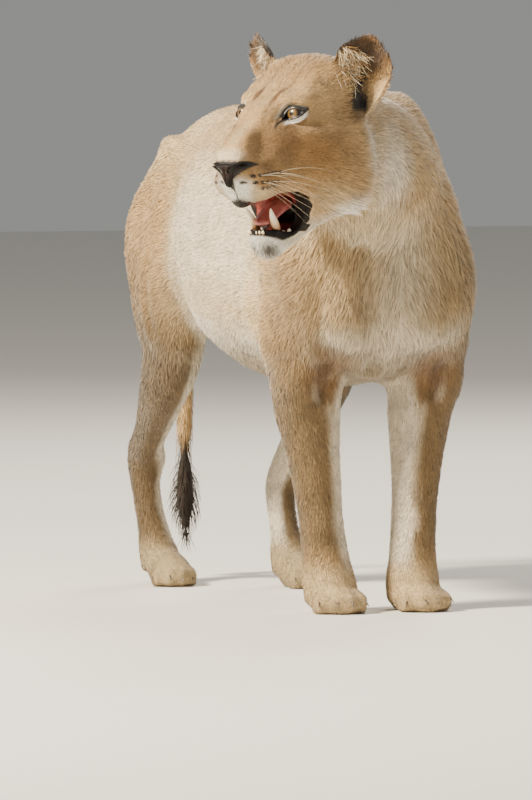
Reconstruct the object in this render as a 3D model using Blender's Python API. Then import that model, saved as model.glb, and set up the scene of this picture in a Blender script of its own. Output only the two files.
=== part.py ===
"""A standing lioness as a still, life-size museum model, in metres with +Z up.

Her head end points to -Y and her left side to +X. The body is lofted from named
stations, fused into one skin by a voxel remesh, and then parted with thin cuts into
the pieces that a person would name. The head is laid out on its own axes: forward,
left and up from the point between the eyes.
"""

import math

import bmesh
import bpy
from mathutils import Matrix, Vector

# Driving dimensions, in metres.
GAP = 0.0003  # left between neighbours
VOXEL = 0.0062  # of the fused body
SMOOTHING_STEPS = 9
BODY_TRIANGLES = 3080
SIDES = {"left": 1.0, "right": -1.0}

# The head's place and turn. She looks to her right, with the chin a little down.
EYES = Vector((-0.283, -0.568, 0.846))  # the point midway between the corneas
HEAD_TURN = math.radians(59.0)
EYE_SPACING = 0.105
EYE_RADIUS = 0.0190
CORNEA_FORWARD = 0.004
CANINE_SPACING = 0.044

# The trunk, front to back: place along Y, top, belly line, half width, widest height.
TRUNK = (
    (-0.462, 0.660, 0.545, 0.050, 0.600),
    (-0.440, 0.715, 0.485, 0.098, 0.590),
    (-0.400, 0.775, 0.435, 0.136, 0.570),
    (-0.340, 0.845, 0.398, 0.164, 0.530),
    (-0.280, 0.886, 0.384, 0.178, 0.510),
    (-0.200, 0.900, 0.376, 0.176, 0.510),
    (-0.100, 0.882, 0.368, 0.178, 0.530),
    (0.050, 0.862, 0.373, 0.195, 0.565),
    (0.170, 0.856, 0.402, 0.188, 0.580),
    (0.280, 0.852, 0.455, 0.168, 0.600),
    (0.370, 0.846, 0.525, 0.152, 0.600),
    (0.450, 0.828, 0.560, 0.128, 0.630),
    (0.510, 0.785, 0.585, 0.090, 0.670),
    (0.548, 0.725, 0.625, 0.040, 0.675),
)

# Limb stations: centre on her left side, half width, half depth.
SHOULDER = (
    ((0.050, -0.215, 0.850), 0.035, 0.070),
    ((0.078, -0.255, 0.760), 0.055, 0.105),
    ((0.092, -0.300, 0.660), 0.060, 0.108),
    ((0.101, -0.322, 0.570), 0.062, 0.096),
    ((0.108, -0.292, 0.490), 0.067, 0.094),
    ((0.110, -0.268, 0.420), 0.065, 0.086),
    ((0.103, -0.264, 0.358), 0.061, 0.073),
    ((0.096, -0.270, 0.295), 0.053, 0.059),
    ((0.090, -0.277, 0.233), 0.047, 0.050),
    ((0.084, -0.282, 0.165), 0.043, 0.045),
    ((0.079, -0.290, 0.105), 0.044, 0.047),
    ((0.075, -0.300, 0.055), 0.046, 0.052),
    ((0.073, -0.305, 0.020), 0.044, 0.052),
)
HIND_NEAR = (
    ((-0.070, 0.350, 0.770), 0.055, 0.090),
    ((-0.098, 0.365, 0.680), 0.072, 0.132),
    ((-0.118, 0.365, 0.590), 0.071, 0.146),
    ((-0.131, 0.335, 0.505), 0.063, 0.128),
    ((-0.140, 0.305, 0.430), 0.053, 0.096),
    ((-0.140, 0.345, 0.365), 0.045, 0.070),
    ((-0.137, 0.400, 0.310), 0.037, 0.051),
    ((-0.131, 0.455, 0.258), 0.031, 0.040),
    ((-0.126, 0.498, 0.210), 0.031, 0.038),
    ((-0.121, 0.490, 0.145), 0.030, 0.034),
    ((-0.116, 0.468, 0.085), 0.033, 0.036),
    ((-0.111, 0.445, 0.035), 0.038, 0.042),
)
HIND_FAR = (
    ((0.070, 0.350, 0.770), 0.055, 0.090),
    ((0.098, 0.355, 0.680), 0.072, 0.130),
    ((0.118, 0.340, 0.590), 0.071, 0.140),
    ((0.131, 0.295, 0.505), 0.062, 0.122),
    ((0.136, 0.250, 0.430), 0.053, 0.094),
    ((0.126, 0.275, 0.352), 0.045, 0.068),
    ((0.110, 0.315, 0.280), 0.037, 0.051),
    ((0.095, 0.350, 0.225), 0.031, 0.040),
    ((0.085, 0.376, 0.178), 0.031, 0.038),
    ((0.084, 0.362, 0.120), 0.030, 0.034),
    ((0.085, 0.338, 0.070), 0.033, 0.036),
    ((0.086, 0.318, 0.032), 0.038, 0.042),
)
# Each heel bone: from inside the shank to the point of the hock.
HEELS = {
    "right": (((-0.135, 0.420, 0.330), 0.016), ((-0.137, 0.505, 0.262), 0.016),
              ((-0.135, 0.534, 0.222), 0.0175), ((-0.127, 0.505, 0.170), 0.022)),
    "left": (((0.106, 0.325, 0.300), 0.016), ((0.089, 0.388, 0.225), 0.016),
             ((0.082, 0.408, 0.182), 0.0175), ((0.084, 0.375, 0.130), 0.022)),
}
# Paws: the middle of the pad, half width, half length, the turn of the toes.
PAWS = {
    "forepaw_left": (Vector((0.073, -0.312, 0.0)), 0.050, 0.062, 4.0),
    "forepaw_right": (Vector((-0.073, -0.312, 0.0)), 0.050, 0.062, -4.0),
    "hindpaw_left": (Vector((0.087, 0.285, 0.0)), 0.043, 0.058, 6.0),
    "hindpaw_right": (Vector((-0.110, 0.412, 0.0)), 0.043, 0.058, -6.0),
}
TAIL = (
    ((0.0, 0.480, 0.745), 0.036),
    ((0.0, 0.545, 0.700), 0.030),
    ((0.0, 0.588, 0.620), 0.026),
    ((-0.003, 0.606, 0.520), 0.0235),
    ((-0.007, 0.610, 0.410), 0.022),
    ((-0.011, 0.606, 0.310), 0.021),
    ((-0.014, 0.600, 0.245), 0.023),
    ((-0.015, 0.596, 0.190), 0.033),
    ((-0.015, 0.594, 0.135), 0.036),
    ((-0.014, 0.594, 0.088), 0.024),
    ((-0.014, 0.594, 0.064), 0.008),
)
NECK = (
    ((0.010, -0.200, 0.660), 0.120, 0.185),
    ((-0.004, -0.300, 0.695), 0.134, 0.178),
    ((-0.030, -0.375, 0.735), 0.124, 0.152),
    ((-0.070, -0.430, 0.765), 0.112, 0.130),
    ((-0.120, -0.472, 0.785), 0.104, 0.115),
    ((-0.165, -0.500, 0.800), 0.090, 0.095),
)

# Head stations on the head's axes: forward, top, bottom, half width.
SKULL = (
    (0.104, -0.067, -0.104, 0.024),
    (0.092, -0.051, -0.110, 0.029),
    (0.068, -0.026, -0.112, 0.031),
    (0.042, 0.000, -0.112, 0.034),
    (0.014, 0.027, -0.112, 0.042),
    (-0.022, 0.054, -0.112, 0.058),
    (-0.064, 0.084, -0.115, 0.081),
    (-0.106, 0.102, -0.118, 0.091),
    (-0.150, 0.099, -0.118, 0.089),
    (-0.190, 0.076, -0.110, 0.080),
    (-0.225, 0.040, -0.090, 0.066),
)
# Soft forms of the head: forward, left, up, and the three half sizes.
FACE_FORMS = (
    ("whisker_pad", 0.048, 0.027, -0.109, 0.042, 0.028, 0.037),
    ("lip_front", 0.062, 0.014, -0.122, 0.026, 0.020, 0.030),
    ("nose_side", 0.084, 0.020, -0.074, 0.028, 0.018, 0.024),
    ("bridge", 0.061, 0.015, -0.048, 0.034, 0.017, 0.027),
    ("bridge_root", 0.019, 0.017, -0.011, 0.032, 0.018, 0.030),
    ("muzzle_side", 0.020, 0.030, -0.090, 0.054, 0.032, 0.046),
    ("under_eye", 0.000, 0.038, -0.046, 0.050, 0.030, 0.042),
    ("cheek_front", -0.022, 0.044, -0.092, 0.052, 0.034, 0.046),
    ("cheekbone", -0.042, 0.054, -0.046, 0.058, 0.038, 0.046),
    ("brow", -0.026, 0.038, 0.020, 0.032, 0.028, 0.021),
    ("cheek", -0.078, 0.069, -0.070, 0.066, 0.042, 0.076),
    ("ruff", -0.114, 0.080, -0.080, 0.054, 0.042, 0.088),
    ("jaw_angle", -0.070, 0.044, -0.135, 0.060, 0.036, 0.050),
    ("ear_root", -0.108, 0.068, 0.042, 0.036, 0.030, 0.042),
    ("crown", -0.110, 0.036, 0.054, 0.060, 0.040, 0.046),
    ("temple", -0.072, 0.054, 0.026, 0.056, 0.035, 0.042),
)
# The lower jaw, back to front: forward, up, half width, half height.
JAW = (
    (-0.120, -0.120, 0.060, 0.052),
    (-0.080, -0.150, 0.058, 0.044),
    (-0.044, -0.180, 0.050, 0.038),
    (-0.012, -0.201, 0.043, 0.034),
    (0.008, -0.210, 0.035, 0.030),
    (0.022, -0.212, 0.025, 0.027),
    (0.031, -0.209, 0.012, 0.016),
)
# The open mouth in profile, on the head's axes: forward and up.
MOUTH_PROFILE = (
    (-0.037, -0.150), (-0.028, -0.137), (-0.008, -0.128), (0.012, -0.128),
    (0.040, -0.137), (0.066, -0.146), (0.084, -0.147), (0.140, -0.157),
    (0.140, -0.194), (0.044, -0.183), (0.024, -0.184), (-0.006, -0.192),
    (-0.026, -0.188), (-0.037, -0.172),
)
MOUTH_HOLLOW = (0.004, -0.160, 0.068, 0.034, 0.038)  # forward, up, half sizes

EAR_TALL = 0.132
EAR_WIDE = 0.108
EAR_THICK = 0.011
EAR_CUP = 0.030  # how deep the front of the ear is hollowed
EAR_ROWS = 8
EAR_COLUMNS = 11

# Where the body is parted: heights of the tail, and of the legs with their inner sides.
TAIL_FRONT = 0.551
TAIL_LENGTHS = (
    (0.66, 0.80, "tail_root"), (0.46, 0.66, "tail_upper"),
    (0.245, 0.46, "tail_lower"), (-0.10, 0.245, "tail_tuft"),
)
FORELEG_LENGTHS = (
    (-0.10, 0.105, 0.012, "forepaw"), (0.105, 0.27, 0.012, "foreleg_lower"),
    (0.27, 0.425, 0.043, "foreleg_upper"),
)
HIND_LENGTHS = ((-0.10, 0.105, "hindpaw"), (0.105, 0.34, "shank"))
ELBOW_BACK = -0.172
CHEST_BACK = -0.13
LOIN = 0.22

# sRGB colours of the pieces.
COAT = (0.70, 0.55, 0.38)
NOSE = (0.12, 0.09, 0.09)
AMBER = (0.62, 0.40, 0.13)
PINK = (0.66, 0.36, 0.34)
IVORY = (0.87, 0.80, 0.63)

HEAD_AXES = Matrix((
    (-math.sin(HEAD_TURN), math.cos(HEAD_TURN), 0.0),
    (-math.cos(HEAD_TURN), -math.sin(HEAD_TURN), 0.0),
    (0.0, 0.0, 1.0),
))


def on_head(forward, left, up):
    """A place given on the head's own axes, as a place in the world."""
    return EYES + HEAD_AXES @ Vector((forward, left, up))


def material(name, colour, roughness):
    """A Principled material of one sRGB colour."""
    made = bpy.data.materials.new(name)
    made.use_nodes = True
    shader = made.node_tree.nodes["Principled BSDF"]
    linear = [((c + 0.055) / 1.055) ** 2.4 for c in colour]
    shader.inputs["Base Color"].default_value = (*linear, 1.0)
    shader.inputs["Roughness"].default_value = roughness
    made.diffuse_color = (*linear, 1.0)
    return made


def add_object(name, bm, colour=COAT, roughness=0.85):
    """Turns a bmesh into a smooth-shaded object with its own material."""
    mesh = bpy.data.meshes.new(name)
    bmesh.ops.recalc_face_normals(bm, faces=bm.faces)
    bm.to_mesh(mesh)
    bm.free()
    mesh.shade_smooth()
    mesh.materials.append(material(name + "_finish", colour, roughness))
    made = bpy.data.objects.new(name, mesh)
    bpy.context.scene.collection.objects.link(made)
    return made


def add_tube(bm, rings):
    """Skins a list of rings of points, which all hold the same count, and closes both ends."""
    rows = [[bm.verts.new(point) for point in ring] for ring in rings]
    count = len(rows[0])
    for low, high in zip(rows, rows[1:]):
        for i in range(count):
            j = (i + 1) % count
            bm.faces.new((low[i], low[j], high[j], high[i]))
    bm.faces.new(rows[0])
    bm.faces.new(rows[-1])


def oval_ring(centre, side, top, half_width, up, down, count=24):
    """A ring of points whose upper and lower halves may have their own heights."""
    points = []
    for i in range(count):
        turn = math.tau * i / count
        height = up if math.sin(turn) > 0 else down
        offset = side * (half_width * math.cos(turn)) + top * (height * math.sin(turn))
        points.append(centre + offset)
    return points


def smooth_stations(stations, steps=3):
    """Catmull-Rom values between the stations, so that a loft has no kinks."""
    flat = [[n for part in row for n in (part if isinstance(part, tuple) else (part,))]
            for row in stations]
    ends = [flat[0]] + flat + [flat[-1]]
    out = []
    for a, b, c, d in zip(ends, ends[1:], ends[2:], ends[3:]):
        for k in range(steps):
            t = k / steps
            out.append([
                0.5 * (2 * q + (r - p) * t + (2 * p - 5 * q + 4 * r - s) * t * t
                       + (3 * q - p - 3 * r + s) * t ** 3)
                for p, q, r, s in zip(a, b, c, d)
            ])
    out.append(flat[-1])
    return out


def add_limb(bm, stations, side_hint=Vector((1, 0, 0)), count=24, steps=3):
    """A loft along bent stations: centre, half width and, where given, half depth."""
    rows = smooth_stations(stations, steps)
    centres = [Vector(row[:3]) for row in rows]
    rings = []
    for i, row in enumerate(rows):
        tangent = centres[min(i + 1, len(rows) - 1)] - centres[max(i - 1, 0)]
        tangent.normalize()
        side = (side_hint - tangent * side_hint.dot(tangent)).normalized()
        front = tangent.cross(side)
        wide = row[3]
        deep = row[4] if len(row) > 4 else wide
        rings.append(oval_ring(centres[i], side, front, wide, deep, deep, count))
    add_tube(bm, rings)


def add_ball(bm, centre, axes, half_sizes, fine=3):
    """An ellipsoid on the given axes."""
    scale = Matrix.Diagonal(Vector(half_sizes)).to_4x4()
    place = Matrix.Translation(centre) @ axes.to_4x4() @ scale
    bmesh.ops.create_icosphere(bm, subdivisions=fine, radius=1.0, matrix=place)


def add_trunk(bm):
    rings = []
    for y, top, bottom, half_width, widest in smooth_stations(TRUNK):
        centre = Vector((0, y, widest))
        rings.append(oval_ring(centre, Vector((1, 0, 0)), Vector((0, 0, 1)), half_width,
                               top - widest, widest - bottom, 32))
    add_tube(bm, rings)


def mirrored(stations):
    return [((-place[0], place[1], place[2]), *sizes) for place, *sizes in stations]


def add_paw(bm, middle, half_width, half_length, toes_out):
    """The pad and four toes of one foot, on a flat sole that is cut later."""
    turn = Matrix.Rotation(math.radians(toes_out), 3, "Z")
    add_ball(bm, middle + Vector((0, 0, 0.030)), turn, (half_width * 0.90, half_length * 0.90, 0.036))
    for k in range(4):
        across = (k - 1.5) / 1.5
        toe = Vector((across * half_width * 0.70, -half_length * (0.86 - 0.26 * across ** 2), 0.020))
        spread = turn @ Matrix.Rotation(math.radians(10 * across), 3, "Z")
        add_ball(bm, middle + turn @ toe, spread, (half_width * 0.30, half_length * 0.46, 0.025))


def add_head(bm):
    forward = HEAD_AXES @ Vector((1, 0, 0))
    left = HEAD_AXES @ Vector((0, 1, 0))
    up = HEAD_AXES @ Vector((0, 0, 1))
    rings = []
    for ahead, top, bottom, half_width in smooth_stations(SKULL):
        middle = (top + bottom) / 2
        half = (top - bottom) / 2
        rings.append(oval_ring(on_head(ahead, 0, middle), left, up, half_width, half, half))
    add_tube(bm, rings)
    rings = []
    for ahead, height, half_width, half in smooth_stations(JAW):
        rings.append(oval_ring(on_head(ahead, 0, height), left, (up + forward * 0.5).normalized(),
                               half_width, half, half))
    add_tube(bm, rings)
    for _, ahead, across, height, *half_sizes in FACE_FORMS:
        for side in SIDES.values():
            add_ball(bm, on_head(ahead, side * across, height), HEAD_AXES, half_sizes)
    add_ball(bm, on_head(-0.125, 0, -0.110), HEAD_AXES, (0.075, 0.070, 0.070))
    add_ball(bm, on_head(0.088, 0, -0.100), HEAD_AXES, (0.016, 0.024, 0.028))


def apply_modifiers(obj):
    graph = bpy.context.evaluated_depsgraph_get()
    mesh = bpy.data.meshes.new_from_object(obj.evaluated_get(graph))
    obj.modifiers.clear()
    obj.data = mesh


def weigh(obj, group_name, weight_at):
    """A vertex group whose weights are a function of place."""
    obj.vertex_groups.clear()
    group = obj.vertex_groups.new(name=group_name)
    for vertex in obj.data.vertices:
        group.add([vertex.index], weight_at(vertex.co), "REPLACE")


def fuse(name, bm, voxel, smoothing, triangles, blend_at=None):
    """Joins overlapping closed shells into one even skin, then thins it."""
    made = add_object(name, bm)
    remesh = made.modifiers.new("fuse", "REMESH")
    remesh.mode = "VOXEL"
    remesh.voxel_size = voxel
    smooth = made.modifiers.new("smooth", "SMOOTH")
    smooth.factor = 0.5
    smooth.iterations = smoothing
    apply_modifiers(made)
    if blend_at:
        weigh(made, "blended", blend_at)
        blend = made.modifiers.new("blend", "SMOOTH")
        blend.factor = 0.5
        blend.iterations = smoothing
        blend.vertex_group = "blended"
        apply_modifiers(made)
        made.vertex_groups.clear()
    thin = made.modifiers.new("thin", "DECIMATE")
    count = sum(len(face.vertices) - 2 for face in made.data.polygons)
    thin.ratio = triangles / count
    apply_modifiers(made)
    return made


def above_paws(place):
    """The forms are blended twice above the paws, so that the toes keep their clefts."""
    return min(1.0, max(0.0, (place.z - 0.07) / 0.06))


def add_box(name, corners):
    """A closed convex cutter from its eight corners, the lower four first."""
    bm = bmesh.new()
    verts = [bm.verts.new(corner) for corner in corners]
    for face in ((0, 1, 2, 3), (4, 5, 6, 7), (0, 1, 5, 4), (1, 2, 6, 5), (2, 3, 7, 6), (3, 0, 4, 7)):
        bm.faces.new([verts[i] for i in face])
    made = add_object(name, bm)
    made.hide_render = True
    made.display_type = "WIRE"
    return made


def slab(name, low, high, tilt=Matrix.Identity(3), pivot=Vector((0, 0, 0))):
    """A box between two corners, turned about a pivot."""
    corners = [Vector((x, y, z)) for z in (low[2], high[2])
               for x, y in ((low[0], low[1]), (high[0], low[1]), (high[0], high[1]), (low[0], high[1]))]
    return add_box(name, [pivot + tilt @ (corner - pivot) for corner in corners])


def boolean(obj, cutter, operation):
    cut = obj.modifiers.new("cut", "BOOLEAN")
    cut.operation = operation
    cut.solver = "EXACT"
    cut.object = cutter
    apply_modifiers(obj)


def grown(cutter, distance):
    """A copy of a cutter that is larger by a distance on every side."""
    copy = cutter.copy()
    copy.data = cutter.data.copy()
    bpy.context.scene.collection.objects.link(copy)
    bm = bmesh.new()
    bm.from_mesh(copy.data)
    bm.normal_update()
    moved = {}
    for vertex in bm.verts:
        normals = []
        for face in vertex.link_faces:
            if all(face.normal.dot(n) < 0.999 for n in normals):
                normals.append(face.normal.copy())
        if len(normals) == 3:
            moved[vertex] = Matrix(normals).inverted() @ Vector((distance,) * 3)
        else:
            moved[vertex] = vertex.normal * distance
    for vertex, offset in moved.items():
        vertex.co += offset
    bm.to_mesh(copy.data)
    bm.free()
    return copy


def remove(obj):
    bpy.data.objects.remove(obj, do_unlink=True)


def largest_only(obj):
    """Keeps the biggest closed body of an object, and drops crumbs left by a cut."""
    bm = bmesh.new()
    bm.from_mesh(obj.data)
    left = set(bm.verts)
    bodies = []
    while left:
        stack = [left.pop()]
        body = set(stack)
        while stack:
            for edge in stack.pop().link_edges:
                for vertex in edge.verts:
                    if vertex in left:
                        left.discard(vertex)
                        body.add(vertex)
                        stack.append(vertex)
        bodies.append(body)
    bodies.sort(key=len)
    for body in bodies[:-1]:
        bmesh.ops.delete(bm, geom=list(body), context="VERTS")
    bm.to_mesh(obj.data)
    bm.free()


def tidy(obj):
    """Welds slivers that a cut leaves, and triangulates."""
    bm = bmesh.new()
    bm.from_mesh(obj.data)
    bmesh.ops.dissolve_degenerate(bm, edges=bm.edges, dist=0.00012)
    bmesh.ops.triangulate(bm, faces=bm.faces)
    bm.to_mesh(obj.data)
    bm.free()
    obj.data.shade_smooth()


def part_off(body, name, cutter, colour=COAT):
    """Cuts a named piece out of the body, and leaves the gap between them."""
    piece = body.copy()
    piece.data = body.data.copy()
    piece.name = name
    piece.data.name = name
    bpy.context.scene.collection.objects.link(piece)
    boolean(piece, cutter, "INTERSECT")
    largest_only(piece)
    wider = grown(cutter, GAP)
    boolean(body, wider, "DIFFERENCE")
    remove(wider)
    remove(cutter)
    piece.data.materials.clear()
    piece.data.materials.append(material(name + "_finish", colour, 0.85))
    return piece


def make_ear(side):
    """A rounded cup: a dome-shaped outline, hollowed in front, with its own thickness."""
    name = "ear_left" if side > 0 else "ear_right"
    root = on_head(-0.114, side * 0.079, 0.004)
    lean = Vector((-0.06, side * 0.36, 1.0)).normalized()
    facing = Vector((0.80, side * 0.60, 0.05))
    facing = (facing - lean * facing.dot(lean)).normalized()
    across = lean.cross(facing)
    bm = bmesh.new()
    grids = []
    for layer in (-1, 1):
        grid = []
        for r in range(EAR_ROWS):
            v = 1 - (1 - r / (EAR_ROWS - 1)) ** 1.4
            dome = max(0.12, 1 - max(0.0, (v - 0.42) / 0.58) ** 3.2) ** 0.5
            half = EAR_WIDE / 2 * dome * (0.55 + 0.45 * math.sin(math.pi / 2 * min(1.0, v / 0.55)))
            line = []
            for c in range(EAR_COLUMNS):
                w = 2 * c / (EAR_COLUMNS - 1) - 1
                cup = EAR_CUP * (1 - w * w) * (1.1 - 0.65 * v)
                thick = EAR_THICK / 2 * (1 - 0.40 * v) * (1 - 0.50 * abs(w) ** 3)
                local = (lean * (EAR_TALL * (v - 0.05 * w * w)) + across * (half * w)
                         + facing * (layer * thick - cup + 0.010 * v * v))
                line.append(bm.verts.new(root + HEAD_AXES @ local))
            grid.append(line)
        grids.append(grid)
        for low, high in zip(grid, grid[1:]):
            for c in range(EAR_COLUMNS - 1):
                bm.faces.new((low[c], low[c + 1], high[c + 1], high[c]))
    back, front = grids
    last_row, last_column = EAR_ROWS - 1, EAR_COLUMNS - 1
    rim = [(r, 0) for r in range(EAR_ROWS)] + [(last_row, c) for c in range(1, EAR_COLUMNS)]
    rim += [(r, last_column) for r in range(last_row - 1, -1, -1)]
    rim += [(0, c) for c in range(last_column - 1, 0, -1)]
    for (r, c), (r2, c2) in zip(rim, rim[1:] + rim[:1]):
        bm.faces.new((back[r][c], back[r2][c2], front[r2][c2], front[r][c]))
    return add_object(name, bm, COAT)


def make_eye(name, side):
    bm = bmesh.new()
    centre = on_head(CORNEA_FORWARD - EYE_RADIUS, side * EYE_SPACING / 2, 0.0)
    add_ball(bm, centre, HEAD_AXES, (EYE_RADIUS,) * 3)
    return add_object(name, bm, AMBER, 0.05)


def make_nose():
    """The nose leather: a low wedge over the front of the muzzle."""
    bm = bmesh.new()
    add_ball(bm, on_head(0.102, 0, -0.083), HEAD_AXES, (0.013, 0.033, 0.011))
    add_ball(bm, on_head(0.100, 0, -0.097), HEAD_AXES, (0.010, 0.016, 0.016))
    made = fuse("nose_leather", bm, 0.0022, 3, 220)
    made.data.materials.clear()
    made.data.materials.append(material("nose_finish", NOSE, 0.45))
    return made


def make_tongue():
    bm = bmesh.new()
    rows = (
        ((-0.040, 0, -0.158), 0.022, 0.010),
        ((-0.015, 0, -0.167), 0.024, 0.010),
        ((0.006, 0, -0.174), 0.021, 0.008),
        ((0.018, 0, -0.178), 0.015, 0.006),
        ((0.024, 0, -0.180), 0.007, 0.003),
    )
    stations = [(tuple(on_head(*place)), wide, deep) for place, wide, deep in rows]
    add_limb(bm, stations, HEAD_AXES @ Vector((0, 1, 0)), 12, 1)
    return add_object("tongue", bm, PINK, 0.35)


def make_canine(name, side):
    """One lower canine: a tapered crown that leans out and curves back."""
    bm = bmesh.new()
    across = side * CANINE_SPACING / 2
    rows = (
        ((0.000, across * 0.95, -0.193), 0.0070),
        ((0.008, across, -0.178), 0.0072),
        ((0.018, across * 1.10, -0.164), 0.0046),
        ((0.023, across * 1.16, -0.153), 0.0012),
    )
    stations = [(tuple(on_head(*place)), size) for place, size in rows]
    add_limb(bm, stations, HEAD_AXES @ Vector((0, 1, 0)), 8, 2)
    return add_object(name, bm, IVORY, 0.30)


def mouth_cutter():
    bm = bmesh.new()
    sides = [[bm.verts.new(on_head(ahead, across, height)) for ahead, height in MOUTH_PROFILE]
             for across in (-0.085, 0.085)]
    bm.faces.new(sides[0])
    bm.faces.new(sides[1])
    count = len(MOUTH_PROFILE)
    for i in range(count):
        j = (i + 1) % count
        bm.faces.new((sides[0][i], sides[0][j], sides[1][j], sides[1][i]))
    return add_object("mouth_cutter", bm)


def make_body():
    """All the flesh but the ears, as one skin on flat soles."""
    bm = bmesh.new()
    add_trunk(bm)
    add_limb(bm, NECK)
    add_limb(bm, SHOULDER)
    add_limb(bm, mirrored(SHOULDER))
    add_limb(bm, HIND_NEAR)
    add_limb(bm, HIND_FAR)
    for heel in HEELS.values():
        add_limb(bm, heel)
    add_limb(bm, TAIL)
    for side in SIDES.values():
        add_ball(bm, Vector((side * 0.110, -0.215, 0.500)), Matrix.Identity(3), (0.062, 0.080, 0.110))
        add_ball(bm, Vector((side * 0.060, -0.395, 0.545)), Matrix.Identity(3), (0.070, 0.055, 0.100))
        dewclaw = Vector((side * 0.046, -0.306, 0.090))
        add_ball(bm, dewclaw, Matrix.Identity(3), (0.012, 0.014, 0.020))
    for paw in PAWS.values():
        add_paw(bm, *paw)
    add_head(bm)
    body = fuse("body", bm, VOXEL, SMOOTHING_STEPS, BODY_TRIANGLES, above_paws)
    floor = slab("floor_cutter", (-1, -1.2, -0.2), (1, 1.2, 0.004))
    boolean(body, floor, "DIFFERENCE")
    remove(floor)
    return body


def open_mouth(body):
    wedge = mouth_cutter()
    boolean(body, wedge, "DIFFERENCE")
    remove(wedge)
    bm = bmesh.new()
    ahead, height, *half_sizes = MOUTH_HOLLOW
    add_ball(bm, on_head(ahead, 0, height), HEAD_AXES, half_sizes)
    hollow = add_object("mouth_hollow", bm)
    boolean(body, hollow, "DIFFERENCE")
    remove(hollow)


def fit_into(body, piece):
    """Sinks a finished piece into the body, with the gap round it."""
    wider = grown(piece, GAP)
    boolean(body, wider, "DIFFERENCE")
    remove(wider)


def trim_by(piece, body):
    """Cuts from a piece what lies inside the body."""
    wider = grown(body, GAP)
    boolean(piece, wider, "DIFFERENCE")
    remove(wider)
    largest_only(piece)


def part_head(body):
    """Takes the head off at the back of the skull, and the lower jaw off the head."""
    joint = on_head(-0.178, 0, -0.020)
    reach = Vector((0.30, 0.50, 0.40))
    turn = Matrix.Rotation(-HEAD_TURN * 0.85, 3, "Z") @ Matrix.Rotation(math.radians(-16), 3, "X")
    low = joint - reach
    high = joint + Vector((reach.x, 0.0, reach.z))
    head = part_off(body, "head", slab("head_cut", low, high, turn, joint))

    corner = Vector((MOUTH_PROFILE[0][0], 0, MOUTH_PROFILE[0][1]))
    slope = Matrix.Rotation(math.radians(9), 3, "Y")
    below = slab("jaw_cut", corner + Vector((-0.085, -0.15, -0.15)), corner + Vector((0.20, 0.15, 0.0)),
                 slope, corner)
    below.data.transform(Matrix.Translation(EYES) @ HEAD_AXES.to_4x4())
    return [head, part_off(head, "jaw", below)]


def part_neck(body):
    base = Vector((0, -0.335, 0.70))
    turn = Matrix.Rotation(math.radians(-14), 3, "Z") @ Matrix.Rotation(math.radians(-34), 3, "X")
    low = base + Vector((-0.4, -0.45, -0.14))
    high = base + Vector((0.4, 0.0, 0.40))
    return [part_off(body, "neck", slab("neck_cut", low, high, turn, base))]


def part_tail(body):
    pieces = []
    for low, high, name in TAIL_LENGTHS:
        cutter = slab("tail_cut", (-0.09, TAIL_FRONT, low), (0.09, 0.75, high))
        pieces.append(part_off(body, name, cutter))
    return pieces


def part_legs(body, name, side):
    """Cuts one side's foreleg and hind leg into their lengths, from the ground up."""
    pieces = []
    for low, high, inner, part in FORELEG_LENGTHS:
        x = sorted((side * inner, side * 0.40))
        cutter = slab("foreleg_cut", (x[0], -0.50, low), (x[1], ELBOW_BACK, high))
        pieces.append(part_off(body, part + "_" + name, cutter))
    x = sorted((side * 0.006, side * 0.40))
    for low, high, part in HIND_LENGTHS:
        cutter = slab("hind_cut", (x[0], 0.14, low), (x[1], 0.70, high))
        pieces.append(part_off(body, part + "_" + name, cutter))
    flank = Vector((0, 0.17, 0.455))
    rise = Matrix.Rotation(math.radians(24), 3, "X")
    cutter = slab("thigh_cut", (x[0], 0.10, 0.25), (x[1], 0.75, flank.z), rise, flank)
    pieces.append(part_off(body, "thigh_" + name, cutter))
    return pieces


def part_trunk(body):
    """Divides what is left into chest, belly and rump."""
    chest = part_off(body, "chest", slab("chest_cut", (-0.4, -0.8, 0.2), (0.4, CHEST_BACK, 1.1)))
    belly = part_off(body, "belly", slab("belly_cut", (-0.4, CHEST_BACK, 0.2), (0.4, LOIN, 1.1)))
    body.name = "rump"
    body.data.name = "rump"
    largest_only(body)
    return [chest, belly, body]


def stand_on_origin(pieces):
    """Moves everything so that the box is centred over the origin and rests on z = 0."""
    points = [vertex.co for piece in pieces for vertex in piece.data.vertices]
    low = [min(point[axis] for point in points) for axis in range(3)]
    high = [max(point[axis] for point in points) for axis in range(3)]
    shift = Vector((-(low[0] + high[0]) / 2, -(low[1] + high[1]) / 2, -low[2]))
    for piece in pieces:
        piece.data.transform(Matrix.Translation(shift))


def main():
    for obj in list(bpy.data.objects):
        bpy.data.objects.remove(obj, do_unlink=True)

    body = make_body()
    open_mouth(body)
    eyes = [make_eye("eye_" + name, side) for name, side in SIDES.items()]
    nose = make_nose()
    canines = [make_canine("canine_lower_" + name, side) for name, side in SIDES.items()]
    for piece in [*eyes, nose, *canines]:
        fit_into(body, piece)
    ears = [make_ear(side) for side in SIDES.values()]
    for ear in ears:
        trim_by(ear, body)
    tongue = make_tongue()
    for piece in [body, *canines]:
        trim_by(tongue, piece)

    pieces = [*eyes, nose, *canines, *ears, tongue]
    pieces += part_head(body) + part_neck(body) + part_tail(body)
    for name, side in SIDES.items():
        pieces += part_legs(body, name, side)
    pieces += part_trunk(body)
    for piece in pieces:
        tidy(piece)
    stand_on_origin(pieces)
    print(len(pieces), "pieces,", sum(len(piece.data.polygons) for piece in pieces), "triangles")


main()
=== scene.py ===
# %% [markdown]
# # A lioness, standing
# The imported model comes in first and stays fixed. Its solids give every place below: the
# eyes, the muzzle, the paws. The work then goes from the whole to the detail: the camera and
# the light, one skin over all the flesh, the face, and last the coat, tuft by tuft.

# %% Load the frame
import math

import bmesh
import bpy
import numpy as np
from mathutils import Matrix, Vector
from mathutils.bvhtree import BVHTree


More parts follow.
